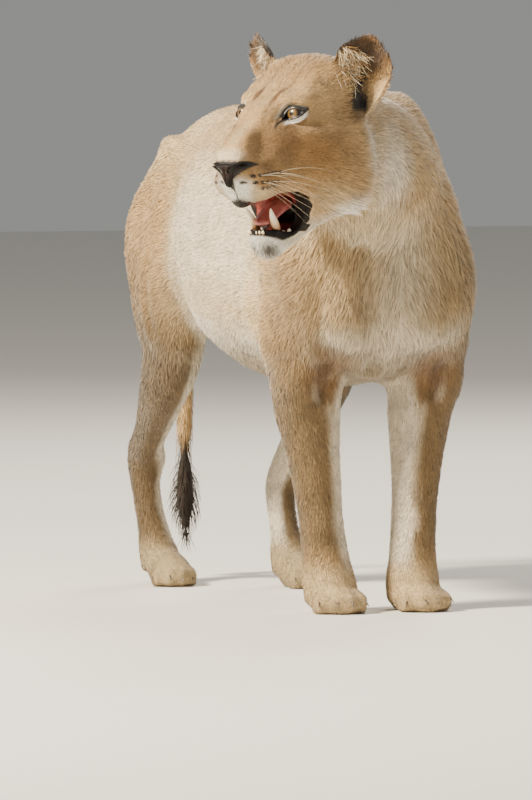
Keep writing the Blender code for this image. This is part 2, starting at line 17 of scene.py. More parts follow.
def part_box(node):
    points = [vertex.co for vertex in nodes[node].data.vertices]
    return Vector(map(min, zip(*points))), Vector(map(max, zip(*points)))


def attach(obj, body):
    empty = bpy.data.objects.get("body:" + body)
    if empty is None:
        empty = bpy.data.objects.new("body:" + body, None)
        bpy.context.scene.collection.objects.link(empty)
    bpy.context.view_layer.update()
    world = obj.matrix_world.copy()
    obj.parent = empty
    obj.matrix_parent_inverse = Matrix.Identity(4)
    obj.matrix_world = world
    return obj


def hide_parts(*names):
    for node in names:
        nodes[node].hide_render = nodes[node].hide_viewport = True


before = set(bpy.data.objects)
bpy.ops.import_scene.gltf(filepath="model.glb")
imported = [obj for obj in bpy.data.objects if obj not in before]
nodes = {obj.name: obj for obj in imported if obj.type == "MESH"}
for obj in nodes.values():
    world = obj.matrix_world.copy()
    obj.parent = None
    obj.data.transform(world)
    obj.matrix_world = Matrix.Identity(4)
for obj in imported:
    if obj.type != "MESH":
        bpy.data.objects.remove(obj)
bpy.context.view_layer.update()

draw = np.random.default_rng(11)

# %% [markdown]
# ## Two rulers
# A face is easier to describe on its own axes than on the room's. The line through the two
# eyes gives the head's left; up is up; forward is square to both. The body gets its own
# ruler too, with zero on its midline, because the box round the whole model is off centre:
# the head is turned out to one side.

# %% Axes of the head and of the body
EYE_RADIUS = 0.019
CORNEA_FORWARD = 0.004


def middle_of(node):
    low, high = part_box(node)
    return (low + high) / 2


eye_middle = {name: middle_of("eye_" + name) for name in ("left", "right")}
head_left = (eye_middle["left"] - eye_middle["right"]).normalized()
head_up = Vector((0, 0, 1))
head_forward = head_left.cross(head_up).normalized()
between_eyes = (eye_middle["left"] + eye_middle["right"]) / 2
between_eyes += head_forward * (EYE_RADIUS - CORNEA_FORWARD)
HEAD = np.array([head_forward, head_left, head_up])
EYES = np.array(between_eyes)
BODY = EYES - np.array((-0.283, -0.568, 0.846))  # the midline, over the floor
SIDES = {"left": 1.0, "right": -1.0}


def on_head(points):
    """World places as forward, left and up of the point between the eyes."""
    return (np.asarray(points, float) - EYES) @ HEAD.T


def from_head(places):
    return EYES + np.asarray(places, float) @ HEAD


def on_body(points):
    """World places measured from the body's midline on the floor."""
    return np.asarray(points, float) - BODY


print("eyes at", between_eyes, "midline at", BODY)

# %% [markdown]
# ## Camera, floor and light
# A long lens from far off keeps a big animal's proportions honest. The floor is a plain pale
# sheet. A strong key lamp from her right models the muscles, a weak wide one fills its shadows,
# one from behind draws the edge of the coat, and the bright room softens all three.

# %% Camera
CAMERA_AT = Vector((-5.540, -15.265, 1.146))
CAMERA_TURN = math.radians(20.0)  # from straight ahead, towards her right
CAMERA_DIP = math.radians(2.83)

camera_data = bpy.data.cameras.new("camera")
camera_data.lens = 428.4
camera_data.sensor_width = 36.0
camera_data.clip_end = 80.0
camera = bpy.data.objects.new("camera", camera_data)
camera.location = CAMERA_AT
camera.rotation_euler = (math.radians(90) - CAMERA_DIP, 0, -CAMERA_TURN)
bpy.context.scene.collection.objects.link(camera)
bpy.context.scene.camera = camera


# %% Colour and node helpers
def linear(hex_colour):
    """An sRGB hex colour as linear red, green, blue and full alpha."""
    parts = [int(hex_colour[i:i + 2], 16) / 255 for i in (0, 2, 4)]
    flat = [c / 12.92 if c <= 0.04045 else ((c + 0.055) / 1.055) ** 2.4 for c in parts]
    return (*flat, 1.0)


def add_node(tree, kind, links=None, values=None, **settings):
    """Adds a node, sets it, fills its sockets, and links outputs into it."""
    node = tree.nodes.new(kind)
    for name, value in settings.items():
        setattr(node, name, value)
    for name, value in (values or {}).items():
        node.inputs[name].default_value = value
    for name, output in (links or {}).items():
        tree.links.new(output, node.inputs[name])
    return node


MIX_A, MIX_B, MIX_RESULT = 6, 7, 2  # the colour sockets of a Mix node


def new_finish(name, **values):
    """A material with one Principled shader, whose constant values are set on its sockets."""
    finish = bpy.data.materials.new(name)
    finish.use_nodes = True
    shader = finish.node_tree.nodes["Principled BSDF"]
    for socket, value in values.items():
        shader.inputs[socket.replace("_", " ")].default_value = value
    return finish, finish.node_tree, shader


# %% Floor and studio light
def deselect_all():
    bpy.ops.object.select_all(action="DESELECT")


def pick(obj):
    """Makes this object the only one selected."""
    deselect_all()
    obj.select_set(True)
    bpy.context.view_layer.objects.active = obj


deselect_all()
bpy.ops.mesh.primitive_plane_add(size=30.0, location=(0, 4, 0))
floor = bpy.context.object
floor.name = "studio_floor"
bpy.ops.object.transform_apply(location=True, rotation=True, scale=True)
paper, paper_tree, paper_shader = new_finish("pale_studio_paper", Roughness=0.9)
paper_where = add_node(paper_tree, "ShaderNodeTexCoord")
paper_grain = add_node(paper_tree, "ShaderNodeTexNoise", {"Vector": paper_where.outputs["Object"]},
                       {"Scale": 90.0, "Detail": 3.0})
paper_tone = add_node(paper_tree, "ShaderNodeMix", {"Factor": paper_grain.outputs["Fac"]},
                      {MIX_A: linear("DDDAD3"), MIX_B: linear("E4E1DB")}, data_type="RGBA")
paper_tree.links.new(paper_tone.outputs[MIX_RESULT], paper_shader.inputs["Base Color"])
floor.data.materials.append(paper)


def add_lamp(name, place, aim, size, power, colour):
    """A round area lamp, turned to its aim; size in metres across and power in watts."""
    data = bpy.data.lights.new(name, "AREA")
    data.shape = "DISK"
    data.size = size
    data.energy = power
    data.color = linear(colour)[:3]
    lamp = bpy.data.objects.new(name, data)
    lamp.location = place
    lamp.rotation_euler = (Vector(aim) - Vector(place)).to_track_quat("-Z", "Y").to_euler()
    bpy.context.scene.collection.objects.link(lamp)


add_lamp("key_lamp", (-5.0, -1.1, 4.6), (0, 0, 0.5), 1.2, 1500, "FFF3DC")
add_lamp("fill_lamp", (2.6, -6.0, 2.6), (0, 0, 0.5), 3.0, 110, "FFF8F0")
add_lamp("rim_lamp", (3.0, 4.2, 4.2), (0, 0, 0.6), 2.4, 300, "FFF6E8")
world = bpy.data.worlds.new("studio_room")
bpy.context.scene.world = world
world.use_nodes = True
world.node_tree.nodes["Background"].inputs["Color"].default_value = linear("F1F1EE")
world.node_tree.nodes["Background"].inputs["Strength"].default_value = 0.33
print("camera", round(camera_data.lens, 1), "mm")

# %% [markdown]
# ## One skin over all the flesh
# The solids are the body parted by thin cuts, and they reach out to the tips of the coat.
# Skin has no seams, so copies of them are swollen until they touch, joined, and remeshed as
# one surface. It is relaxed to take the facets out, more on the trunk than on the ears and
# toes, and then drawn in by the depth of the coat.

# %% Join copies of the flesh
BARE = {"eye_left", "eye_right", "nose_leather", "tongue", "canine_lower_left", "canine_lower_right"}
flesh = sorted(set(nodes) - BARE)
SWELL = 0.0006
SKIN_VOXEL = 0.0034


def copy_swollen(name):
    """A merged copy of a solid, pushed out enough to cross the thin cuts."""
    copy = bpy.data.objects.new(name + "_copy", nodes[name].data.copy())
    bpy.context.scene.collection.objects.link(copy)
    shape = bmesh.new()
    shape.from_mesh(copy.data)
    bmesh.ops.remove_doubles(shape, verts=shape.verts, dist=1e-6)
    shape.normal_update()
    for vertex in shape.verts:
        vertex.co += vertex.normal * SWELL
    shape.to_mesh(copy.data)
    shape.free()
    return copy


deselect_all()
copies = [copy_swollen(name) for name in flesh + ["eye_left", "eye_right", "nose_leather"]]
for copy in copies:
    copy.select_set(True)
bpy.context.view_layer.objects.active = copies[0]
bpy.ops.object.join()
skin = bpy.context.object
skin.name = "skin"
skin.data.name = "skin"
skin.data.materials.clear()
remesh = skin.modifiers.new("one_skin", "REMESH")
remesh.mode = "VOXEL"
remesh.voxel_size = SKIN_VOXEL
bpy.ops.object.modifier_apply(modifier=remesh.name)
print("skin", len(skin.data.vertices), "points")


# %% Read and relax a mesh
def read_points(mesh):
    flat = np.empty(len(mesh.vertices) * 3, np.float32)
    mesh.vertices.foreach_get("co", flat)
    return flat.reshape(-1, 3).astype(float)


def write_points(mesh, points):
    mesh.vertices.foreach_set("co", points.astype(np.float32).ravel())
    mesh.update()


def read_normals(mesh):
    flat = np.empty(len(mesh.vertices) * 3, np.float32)
    mesh.vertex_normals.foreach_get("vector", flat)
    return flat.reshape(-1, 3).astype(float)


def edges_of(mesh):
    flat = np.empty(len(mesh.edges) * 2, np.int32)
    mesh.edges.foreach_get("vertices", flat)
    return flat.reshape(-1, 2)


def relax(values, edges, strength, rounds):
    """Moves each point towards the mean of its neighbours, by its own strength."""
    count = np.bincount(edges.ravel(), minlength=len(values)).astype(float)
    strength = np.broadcast_to(np.asarray(strength, float), len(values))[:, None]
    for _ in range(rounds):
        total = np.empty_like(values)
        for axis in range(values.shape[1]):
            total[:, axis] = (np.bincount(edges[:, 0], values[edges[:, 1], axis], len(values))
                              + np.bincount(edges[:, 1], values[edges[:, 0], axis], len(values)))
        values = values + strength * (total / count[:, None] - values)
    return values


def step(values, low, high):
    """A smooth rise from 0 at low to 1 at high."""
    t = np.clip((values - low) / (high - low), 0, 1)
    return t * t * (3 - 2 * t)


def blob(places, centre, sizes):
    """A soft ball of influence: 1 at its centre, 0 outside its half sizes."""
    away = ((places - np.array(centre)) / np.array(sizes)) ** 2
    return np.clip(1 - away.sum(axis=1), 0, 1) ** 2


def both_sides(places):
    """The same places with the sideways one counted away from the midline."""
    return places * (1, 0, 1) + np.abs(places) * (0, 1, 0)


# %% Relax and draw in the skin
def ear_share(face):
    """How much a place, on the head's axes, belongs to an ear."""
    return (step(face[:, 2], 0.045, 0.075) * step(np.abs(face[:, 1]), 0.060, 0.080)
            * step(-face[:, 0], 0.06, 0.09))


def head_share(face):
    """How much a place belongs to the head: the edge slants back towards the nape."""
    ahead = face[:, 0] + 0.35 * np.minimum(0, face[:, 2] + 0.10)
    return step(ahead, -0.23, -0.13) * step(face[:, 2], -0.34, -0.24)


def coat_depth(points):
    """How far the skin lies under the tips of the coat."""
    face = on_head(points)
    body = on_body(points)
    head = head_share(face)
    depth = np.full(len(points), 0.0062)
    depth += 0.006 * step(-body[:, 1], 0.30, 0.42) * step(body[:, 2], 0.42, 0.55)  # breast
    depth += 0.003 * step(0.46 - body[:, 2], 0.0, 0.07) * step(body[:, 2], 0.33, 0.37)  # belly
    muzzle = step(face[:, 0], -0.05, 0.02)
    depth = depth * (1 - head) + head * (0.0052 - 0.0032 * muzzle)
    depth = depth * (1 - 0.75 * ear_share(face))
    depth = depth * (1 - 0.6 * step(0.10 - body[:, 2], 0.0, 0.05))  # paws
    tail_tuft = step(0.27 - body[:, 2], 0.0, 0.05) * step(body[:, 1], 0.55, 0.56)
    return depth + tail_tuft * 0.012


points = read_points(skin.data)
edges = edges_of(skin.data)
face = on_head(points)
body = on_body(points)
ears = ear_share(face)
toes = step(0.11 - body[:, 2], 0.0, 0.05)
head = head_share(face)
points = relax(points, edges, 0.5 * (1 - 0.86 * ears) * (1 - 0.85 * toes) * (1 - 0.6 * head), 46)
write_points(skin.data, points)
points -= read_normals(skin.data) * coat_depth(points)[:, None]
points = relax(points, edges, 0.35 * (1 - 0.8 * ears) * (1 - 0.8 * toes), 4)
write_points(skin.data, points)
SKIN_TRIANGLES = 64000
thin = skin.modifiers.new("fewer_faces", "DECIMATE")
thin.ratio = SKIN_TRIANGLES / (2 * len(skin.data.polygons))
bpy.ops.object.modifier_apply(modifier=thin.name)
print("skin thinned to", len(skin.data.polygons), "triangles")

# %% [markdown]
# ## A finer face
# The eyelids, lips and nostrils are a few millimetres across, so the triangles there are cut
# smaller: once over the whole face and at the sharp folds of the body, once more round the
# eyes, nose and mouth, and a third time on the lids.

# %% Cut the face finer
EYE_SIDE = (eye_middle["left"] - eye_middle["right"]).length / 2


def subdivide_where(obj, wanted):
    """Subdivides, in edit mode, the faces whose middles pass the test."""
    middles = np.empty(len(obj.data.polygons) * 3, np.float32)
    obj.data.polygons.foreach_get("center", middles)
    chosen = wanted(on_head(middles.reshape(-1, 3)))
    pick(obj)
    bpy.ops.object.mode_set(mode="EDIT")
    bpy.ops.mesh.select_mode(type="FACE")
    bpy.ops.mesh.select_all(action="DESELECT")
    bpy.ops.object.mode_set(mode="OBJECT")
    obj.data.polygons.foreach_set("select", chosen)
    bpy.ops.object.mode_set(mode="EDIT")
    bpy.ops.mesh.subdivide(number_cuts=1, smoothness=0.0)
    bpy.ops.mesh.select_all(action="SELECT")
    bpy.ops.mesh.quads_convert_to_tris()
    bpy.ops.object.mode_set(mode="OBJECT")


def between(values, low, high):
    """True where a value lies between the two others."""
    return (values > low) & (values < high)


def on_face(places):
    far = both_sides(places)
    return (places[:, 0] > -0.09) & (far[:, 1] < 0.12) & between(places[:, 2], -0.26, 0.09)


def round_an_eye(places, ahead, reach):
    """True within reach of a point that lies this far ahead of either cornea's middle."""
    return np.linalg.norm(both_sides(places) - (ahead, EYE_SIDE, 0.0), axis=1) < reach


def on_lids(places):
    return round_an_eye(places, -0.006, 0.028)


def on_features(places):
    """The eyes, the side of the mouth, and the lips and nose in front."""
    forward, far, up = both_sides(places).T
    mouth = between(forward, -0.060, 0.02) & between(up, -0.215, -0.115)
    lips = (forward > 0.02) & (between(up, -0.158, -0.072) | (up < -0.180))
    features = ((mouth & (far > 0.030)) | lips) & (far < 0.075) & (up > -0.215)
    return round_an_eye(places, -0.008, 0.036) | features


def on_folds(places):
    """The few places of the trunk and legs that have sharp folds."""
    x, y, z = on_body(from_head(places)).T
    flank = between(y, -0.27, -0.09) & between(z, 0.43, 0.61) & (np.abs(x) > 0.10)
    breast = (y < -0.30) & between(z, 0.34, 0.60) & (np.abs(x + 0.01) < 0.15)
    thigh = between(y, 0.22, 0.34) & between(z, 0.42, 0.62) & (np.abs(x) > 0.12)
    return (flank | breast | thigh) & ~on_face(places)


for part_of_her in (on_folds, on_face, on_features, on_lids):
    subdivide_where(skin, part_of_her)
points = read_points(skin.data)
edges = edges_of(skin.data)
face = on_head(points)
points = relax(points, edges, 0.5 * on_face(face), 5)
write_points(skin.data, points)
print("skin with its face", len(skin.data.polygons), "triangles")

# %% [markdown]
# ## Muscles and folds
# The solids have the big muscles already. The smaller ones that show through the skin are
# rows of numbers: a place, how far it reaches and which way the skin moves there. Folds are
# lines instead, pressed in along their length with the skin swelling on both sides.

# %% Muscles and folds of the body
MUSCLE = 1.55  # all the moves below are made this much stronger
BODY_FORMS = (
    # middle (sideways, back, up), half sizes, move
    ((0.160, -0.340, 0.570), (0.060, 0.075, 0.120), (0.0070, -0.0050, 0.000)),  # point of the shoulder
    ((0.155, -0.265, 0.470), (0.060, 0.065, 0.085), (0.0090, 0.000, 0.000)),  # upper arm
    ((0.172, -0.190, 0.520), (0.060, 0.036, 0.120), (-0.0090, 0.000, 0.000)),  # behind the shoulder
    ((0.120, -0.330, 0.760), (0.080, 0.050, 0.090), (-0.0060, 0.000, 0.000)),  # before the blade
    ((0.090, -0.250, 0.840), (0.070, 0.060, 0.070), (0.0030, 0.000, 0.0060)),  # top of the blade
    ((0.135, -0.318, 0.385), (0.045, 0.060, 0.060), (0.0060, -0.0060, 0.000)),  # forearm
    ((0.066, -0.315, 0.380), (0.026, 0.050, 0.050), (-0.0030, -0.0050, 0.000)),  # its inner side
    ((0.098, -0.318, 0.155), (0.050, 0.040, 0.035), (0.000, -0.0040, 0.000)),  # wrist
    ((0.178, 0.285, 0.520), (0.060, 0.085, 0.130), (0.0085, -0.0030, 0.000)),  # stifle and thigh
    ((0.175, 0.170, 0.520), (0.070, 0.045, 0.120), (-0.0110, 0.000, 0.000)),  # before the thigh
    ((0.126, 0.376, 0.775), (0.050, 0.050, 0.040), (0.0040, 0.000, 0.0060)),  # hip bone
    ((0.150, 0.430, 0.620), (0.060, 0.060, 0.110), (0.0070, 0.0030, 0.000)),  # ham
    ((0.165, 0.360, 0.690), (0.060, 0.040, 0.090), (-0.0060, 0.000, 0.000)),  # before the ham
    ((0.112, 0.470, 0.215), (0.050, 0.030, 0.050), (-0.0070, 0.000, 0.000)),  # before the heel cord
)
BREAST_FORMS = (
    # the two halves of the breast, and the side of it under the left shoulder
    ((-0.098, -0.415, 0.500), (0.050, 0.060, 0.075), (-0.002, -0.0090, -0.002)),
    ((0.030, -0.430, 0.505), (0.060, 0.060, 0.075), (0.002, -0.0080, -0.002)),
    ((0.120, -0.385, 0.530), (0.050, 0.060, 0.090), (0.004, -0.0060, 0.000)),
)
FOLDS = (
    # points along the fold (sideways, back, up), width, depth
    (((0.170, -0.236, 0.585), (0.168, -0.240, 0.530), (0.166, -0.232, 0.470), (0.165, -0.250, 0.440)),
     0.0085, 0.0050),
    (((0.170, -0.205, 0.560), (0.168, -0.210, 0.500), (0.166, -0.204, 0.455)), 0.0080, 0.0032),
    (((0.170, -0.118, 0.590), (0.169, -0.124, 0.545), (0.169, -0.130, 0.500)), 0.0085, 0.0036),
    (((0.170, -0.090, 0.560), (0.170, -0.096, 0.520)), 0.0080, 0.0022),
    (((0.179, 0.300, 0.600), (0.180, 0.292, 0.540), (0.181, 0.270, 0.460)), 0.0090, 0.0036),
    (((0.179, 0.330, 0.560), (0.180, 0.318, 0.500), (0.178, 0.290, 0.430)), 0.0090, 0.0026),
    (((0.112, -0.350, 0.425), (0.109, -0.345, 0.400), (0.104, -0.335, 0.372)), 0.0090, 0.0040),
    (((0.088, -0.345, 0.420), (0.092, -0.338, 0.395), (0.098, -0.328, 0.365)), 0.0090, 0.0020),
)
BREAST_FOLDS = (
    (((-0.072, -0.450, 0.620), (-0.058, -0.445, 0.560), (-0.045, -0.420, 0.480), (-0.020, -0.360, 0.420)),
     0.0140, 0.0100),
    (((-0.140, -0.400, 0.560), (-0.118, -0.385, 0.480), (-0.095, -0.360, 0.430)), 0.0110, 0.0050),
)


FAR_OFF = 9.0  # metres, farther than anything on her


def to_thread(places, line):
    """The distance from places to an open line in space."""
    best = np.full(len(places), FAR_OFF)
    for a, b in zip(line, line[1:]):
        a, along = np.array(a), np.array(b) - np.array(a)
        t = np.clip(((places - a) @ along) / (along @ along), 0, 1)
        best = np.minimum(best, np.linalg.norm(places - a - t[:, None] * along, axis=1))
    return best


def shape_body(body, normals):
    """Moves the skin of the trunk and legs by the forms and folds, and leaves the head."""
    move = np.zeros_like(body)
    folded = np.column_stack((np.abs(body[:, 0]), body[:, 1:]))
    turn = np.column_stack((np.sign(body[:, 0]), np.ones(len(body)), np.ones(len(body))))
    for middle, sizes, shift in BODY_FORMS:
        move += MUSCLE * blob(folded, middle, sizes)[:, None] * np.array(shift) * turn
    for middle, sizes, shift in BREAST_FORMS:
        move += MUSCLE * blob(body, middle, sizes)[:, None] * np.array(shift)
    for places, folds in ((folded, FOLDS), (body, BREAST_FOLDS)):
        for line, wide, deep in folds:
            away = to_thread(places, line)
            swollen = 0.35 * np.exp(-((away - 2.2 * wide) / wide) ** 2)
            pressed = np.exp(-(away / wide) ** 2) - swollen
            move -= (deep * pressed)[:, None] * normals
    return body + move * (1 - head_share(on_head(body + BODY)))[:, None]


points = read_points(skin.data)
points = shape_body(on_body(points), read_normals(skin.data)) + BODY
write_points(skin.data, points)
print(len(BODY_FORMS + BREAST_FORMS), "muscles and", len(FOLDS + BREAST_FOLDS), "folds on the body")

# %% [markdown]
# ## Eyelids
# Each eye is looked at along the way its opening faces. There the opening is a flat almond,
# drawn by an upper and a lower line. Skin inside it goes behind the eyeball, skin on its edge
# lies on the ball, and the brow and the bag under the eye are raised round it.

# %% The almond of the eye
EYE_BALL = np.array((CORNEA_FORWARD - EYE_RADIUS, EYE_SIDE, 0.0))
EYE_ACROSS = np.array((-0.629, 0.777, 0.0))  # towards the outer corner
EYE_RISE = np.array((-0.040, -0.032, 0.9987))
EYE_OUT = np.cross(EYE_ACROSS, EYE_RISE)
EYE_OUT = -EYE_OUT if EYE_OUT[0] < 0 else EYE_OUT
UPPER_LID = ((-0.0300, -0.0125), (-0.0248, -0.0045), (-0.0200, 0.0045), (-0.0135, 0.0102),
             (-0.0055, 0.0112), (0.0030, 0.0100), (0.0095, 0.0080), (0.0150, 0.0078))
LOWER_LID = ((-0.0240, -0.0108), (-0.0170, -0.0080), (-0.0090, -0.0070), (-0.0010, -0.0050),
             (0.0060, -0.0008), (0.0112, 0.0042))
LID_THICK = 0.0012  # from the ball to the outside of a lid
LID_REACH = 0.0172  # how far round the ball the lids keep to it


def rounded(line, rounds=2):
    """Cuts the corners of a closed line, so it bends smoothly."""
    for _ in range(rounds):
        after = np.roll(line, -1, axis=0)
        cuts = np.stack((0.75 * line + 0.25 * after, 0.25 * line + 0.75 * after), 1)
        line = cuts.reshape(-1, line.shape[1])
    return line


EYE_LINE = rounded(np.array(UPPER_LID + LOWER_LID[::-1]))


def to_outline(places, line):
    """For flat places: the distance to a closed line, below 0 inside it, and its nearest point."""
    nearest = np.zeros_like(places)
    best = np.full(len(places), FAR_OFF)
    inside = np.zeros(len(places), bool)
    for a, b in zip(line, np.roll(line, -1, axis=0)):
        along = b - a
        t = np.clip(((places - a) @ along) / (along @ along), 0, 1)
        foot = a + t[:, None] * along
        away = np.linalg.norm(places - foot, axis=1)
        closer = away < best
        best[closer] = away[closer]
        nearest[closer] = foot[closer]
        if a[1] != b[1]:
            crosses = (places[:, 1] < a[1]) != (places[:, 1] < b[1])
            inside ^= crosses & (places[:, 0] < a[0] + (places[:, 1] - a[1]) / (b[1] - a[1]) * along[0])
    return np.where(inside, -best, best), nearest


def in_eye_frame(face):
    """Places on the head as across, rise and out of the nearer eyeball."""
    away = both_sides(face) - EYE_BALL
    return np.stack((away @ EYE_ACROSS, away @ EYE_RISE, away @ EYE_OUT), 1)


def over_ball(away):
    """How far out a lid lies on the ball, this far from the middle of it."""
    return np.sqrt((EYE_RADIUS + LID_THICK) ** 2 - np.minimum(away, LID_REACH) ** 2)


def lid_height(x, y, now):
    """How far out the lids lie: on the ball near it, on the face elsewhere."""
    away = np.hypot(x, y)
    on_ball = 1 - step(away, 0.0150, 0.0230)
    return on_ball * over_ball(away) + (1 - on_ball) * now


def shape_lids(face):
    """Moves the skin round both eyes to make the openings and the lids."""
    eye = in_eye_frame(face)
    near = np.flatnonzero((np.linalg.norm(eye[:, :2], axis=1) < 0.055) & (eye[:, 2] > -0.004))
    x, y, out = eye[near].T
    edge, nearest = to_outline(eye[near, :2], EYE_LINE)
    above = step(y - (0.002 + 0.30 * x), -0.004, 0.006)
    target = lid_height(x, y, out)
    lids = 1 - step(edge, 0.0085, 0.0190)
    new_out = out + lids * (target - out)
    margin = step(edge, 0.0, 0.0012) * (1 - step(edge, 0.0030, 0.0050))
    brow = above * step(edge, 0.0050, 0.0110) * (1 - step(edge, 0.0150, 0.0290))
    lid_fold = above * step(edge, 0.0028, 0.0045) * (1 - step(edge, 0.0055, 0.0085))
    bag = (1 - above) * step(edge, 0.0045, 0.0080) * (1 - step(edge, 0.0100, 0.0190))
    new_out += 0.0011 * margin + 0.0042 * brow - 0.0012 * lid_fold + 0.0016 * bag
    hidden = edge < -0.0002
    depth = 0.0062 * (1 - step(np.hypot(x, y), 0.0190, 0.0240)) + 0.0026
    new_out[hidden] = (target - depth * step(-edge, 0.0, 0.0014))[hidden]
    snap = np.abs(edge) < 0.00065  # these points move onto the line itself
    flat = eye[near, :2].copy()
    flat[snap] = nearest[snap]
    moved = np.column_stack((flat, new_out))
    home = EYE_BALL + moved[:, :1] * EYE_ACROSS + moved[:, 1:2] * EYE_RISE + moved[:, 2:] * EYE_OUT
    home[:, 1] *= np.where(face[near, 1] < 0, -1.0, 1.0)
    face = face.copy()
    face[near] = home
    return face


print("the opening of an eye:", len(EYE_LINE), "points round")

# %% [markdown]
# ## Forms of the face
# Each row is one lump or hollow: where it is, how far it reaches, and which way it moves the
# skin. Both sides of the face get the same, with the sideways move turned round.

# %% Forms of the face
FACE_FORMS = (
    # middle (forward, left, up), half sizes, move
    ((0.070, 0.038, -0.108), (0.040, 0.026, 0.030), (0.002, 0.0065, -0.001)),  # whisker pad
    ((0.100, 0.016, -0.138), (0.050, 0.048, 0.036), (-0.0070, -0.0020, 0.000)),  # the lip draws back
    ((0.074, 0.000, -0.148), (0.030, 0.036, 0.020), (0.000, 0.000, -0.0120)),  # front of the lip
    ((-0.050, 0.048, -0.160), (0.040, 0.090, 0.050), (0.0080, 0.000, 0.000)),  # the corner comes in
    ((0.045, 0.054, -0.142), (0.036, 0.026, 0.020), (0.000, 0.002, -0.0030)),  # side of the lip
    ((0.050, 0.040, -0.048), (0.055, 0.024, 0.040), (0.001, -0.0055, 0.000)),  # beside the bridge
    ((0.060, 0.016, -0.040), (0.060, 0.016, 0.030), (0.001, 0.002, 0.0020)),  # edge of the bridge
    ((0.094, 0.030, -0.075), (0.020, 0.016, 0.018), (0.001, -0.003, 0.0010)),  # wing of the nose
    ((0.060, 0.052, -0.082), (0.034, 0.014, 0.014), (-0.001, -0.0030, 0.000)),  # over the pad
    ((-0.002, 0.036, 0.032), (0.030, 0.028, 0.020), (0.0035, 0.000, 0.0030)),  # brow
    ((-0.020, 0.064, 0.030), (0.030, 0.026, 0.018), (0.002, 0.0035, 0.0010)),  # its outer end
    ((0.022, 0.000, 0.030), (0.030, 0.014, 0.040), (-0.002, 0.000, -0.0015)),  # between the brows
    ((-0.060, 0.010, 0.088), (0.060, 0.016, 0.040), (0.000, 0.000, -0.0030)),  # furrow of the crown
    ((-0.024, 0.082, -0.034), (0.040, 0.030, 0.026), (0.001, 0.0055, 0.0010)),  # cheekbone
    ((0.020, 0.010, 0.008), (0.036, 0.026, 0.026), (0.0065, 0.0040, 0.000)),  # between the eyes
    ((0.018, 0.066, -0.068), (0.034, 0.024, 0.026), (-0.002, -0.0045, 0.000)),  # under it
    ((-0.074, 0.098, -0.092), (0.050, 0.036, 0.050), (0.000, 0.0065, -0.001)),  # jaw muscle
    ((-0.026, 0.066, -0.128), (0.024, 0.026, 0.020), (0.001, 0.0045, 0.000)),  # corner of the mouth
    ((-0.034, 0.062, -0.184), (0.028, 0.030, 0.024), (0.000, 0.0045, -0.002)),  # below the corner
    ((0.020, 0.000, -0.236), (0.034, 0.036, 0.024), (0.000, 0.000, -0.0060)),  # chin
    ((0.016, 0.040, -0.214), (0.024, 0.018, 0.018), (0.000, -0.0030, 0.000)),  # beside the chin
    ((0.014, 0.034, -0.190), (0.040, 0.030, 0.016), (0.000, 0.0020, 0.0075)),  # lower lip
    ((0.032, 0.000, -0.194), (0.030, 0.040, 0.018), (0.0060, 0.000, 0.0110)),  # front of it
)
PHILTRUM_DEEP = 0.0034  # the cleft from the nose down to the lip


def shape_face(face):
    """Moves the skin of the head by the forms, and presses in the cleft under the nose."""
    move = np.zeros_like(face)
    side = np.sign(face[:, 1])[:, None] * (0, 1, 0) + (1, 0, 1)
    far = both_sides(face)
    for middle, sizes, shift in FACE_FORMS:
        move += blob(far, middle, sizes)[:, None] * np.array(shift) * side
    cleft = np.exp(-(face[:, 1] / 0.0030) ** 2) * step(face[:, 0], 0.075, 0.088)
    cleft *= step(-face[:, 2], 0.104, 0.112) * (1 - step(-face[:, 2], 0.156, 0.166))
    move[:, 0] -= PHILTRUM_DEEP * cleft
    return face + move


points = read_points(skin.data)
face = shape_lids(shape_face(on_head(points)))
write_points(skin.data, from_head(face))
print("sculpted", int(on_face(face).sum()), "points of the face")

# %% [markdown]
# ## Eyeballs
# The ball is a sphere whose pole looks where she looks. Near the pole it rises into the
# cornea. Iris, pupil and the dark ring round them are told apart by how far a point lies
# from the pole. A clear coat on the finish makes it wet. The helper that joins rings of
# points into a tube comes first, as lids, teeth, whiskers and claws are made with it too.

# %% Tubes from rings of points
def ring_round(place, across, rise, wide, tall, count):
    """Points of an oval ring round a place, in the plane of two unit directions."""
    turns = np.linspace(0, 2 * math.pi, count + 1)[:-1, None]
    return place + wide * np.cos(turns) * across + tall * np.sin(turns) * rise


def add_tube(name, rings, caps=False):
    """A mesh that joins each ring of points to the next one."""
    count = len(rings[0])
    shape = bmesh.new()
    dots = [[shape.verts.new(p) for p in ring] for ring in rings]
    for low, high in zip(dots, dots[1:]):
        for i in range(count):
            j = (i + 1) % count
            shape.faces.new((low[i], low[j], high[j], high[i]))
    if caps:
        shape.faces.new(dots[0][::-1])
        shape.faces.new(dots[-1])
    bmesh.ops.recalc_face_normals(shape, faces=shape.faces)
    mesh = bpy.data.meshes.new(name)
    shape.to_mesh(mesh)
    shape.free()
    made = bpy.data.objects.new(name, mesh)
    bpy.context.scene.collection.objects.link(made)
    mesh.shade_smooth()
    return made


def axes_along(direction, up=(0.0, 0.0, 1.0)):
    """Three square unit directions, the last along the one given."""
    along = np.array(direction, float)
    along /= np.linalg.norm(along)
    side = np.cross(up, along)
    side /= np.linalg.norm(side)
    return side, np.cross(along, side), along


# %% Eyeballs
GAZE = np.array((0.985, 0.070, 0.140))  # forward, outward, up
CORNEA_EDGE = 0.60  # as an angle from the pole
CORNEA_HIGH = 0.0013


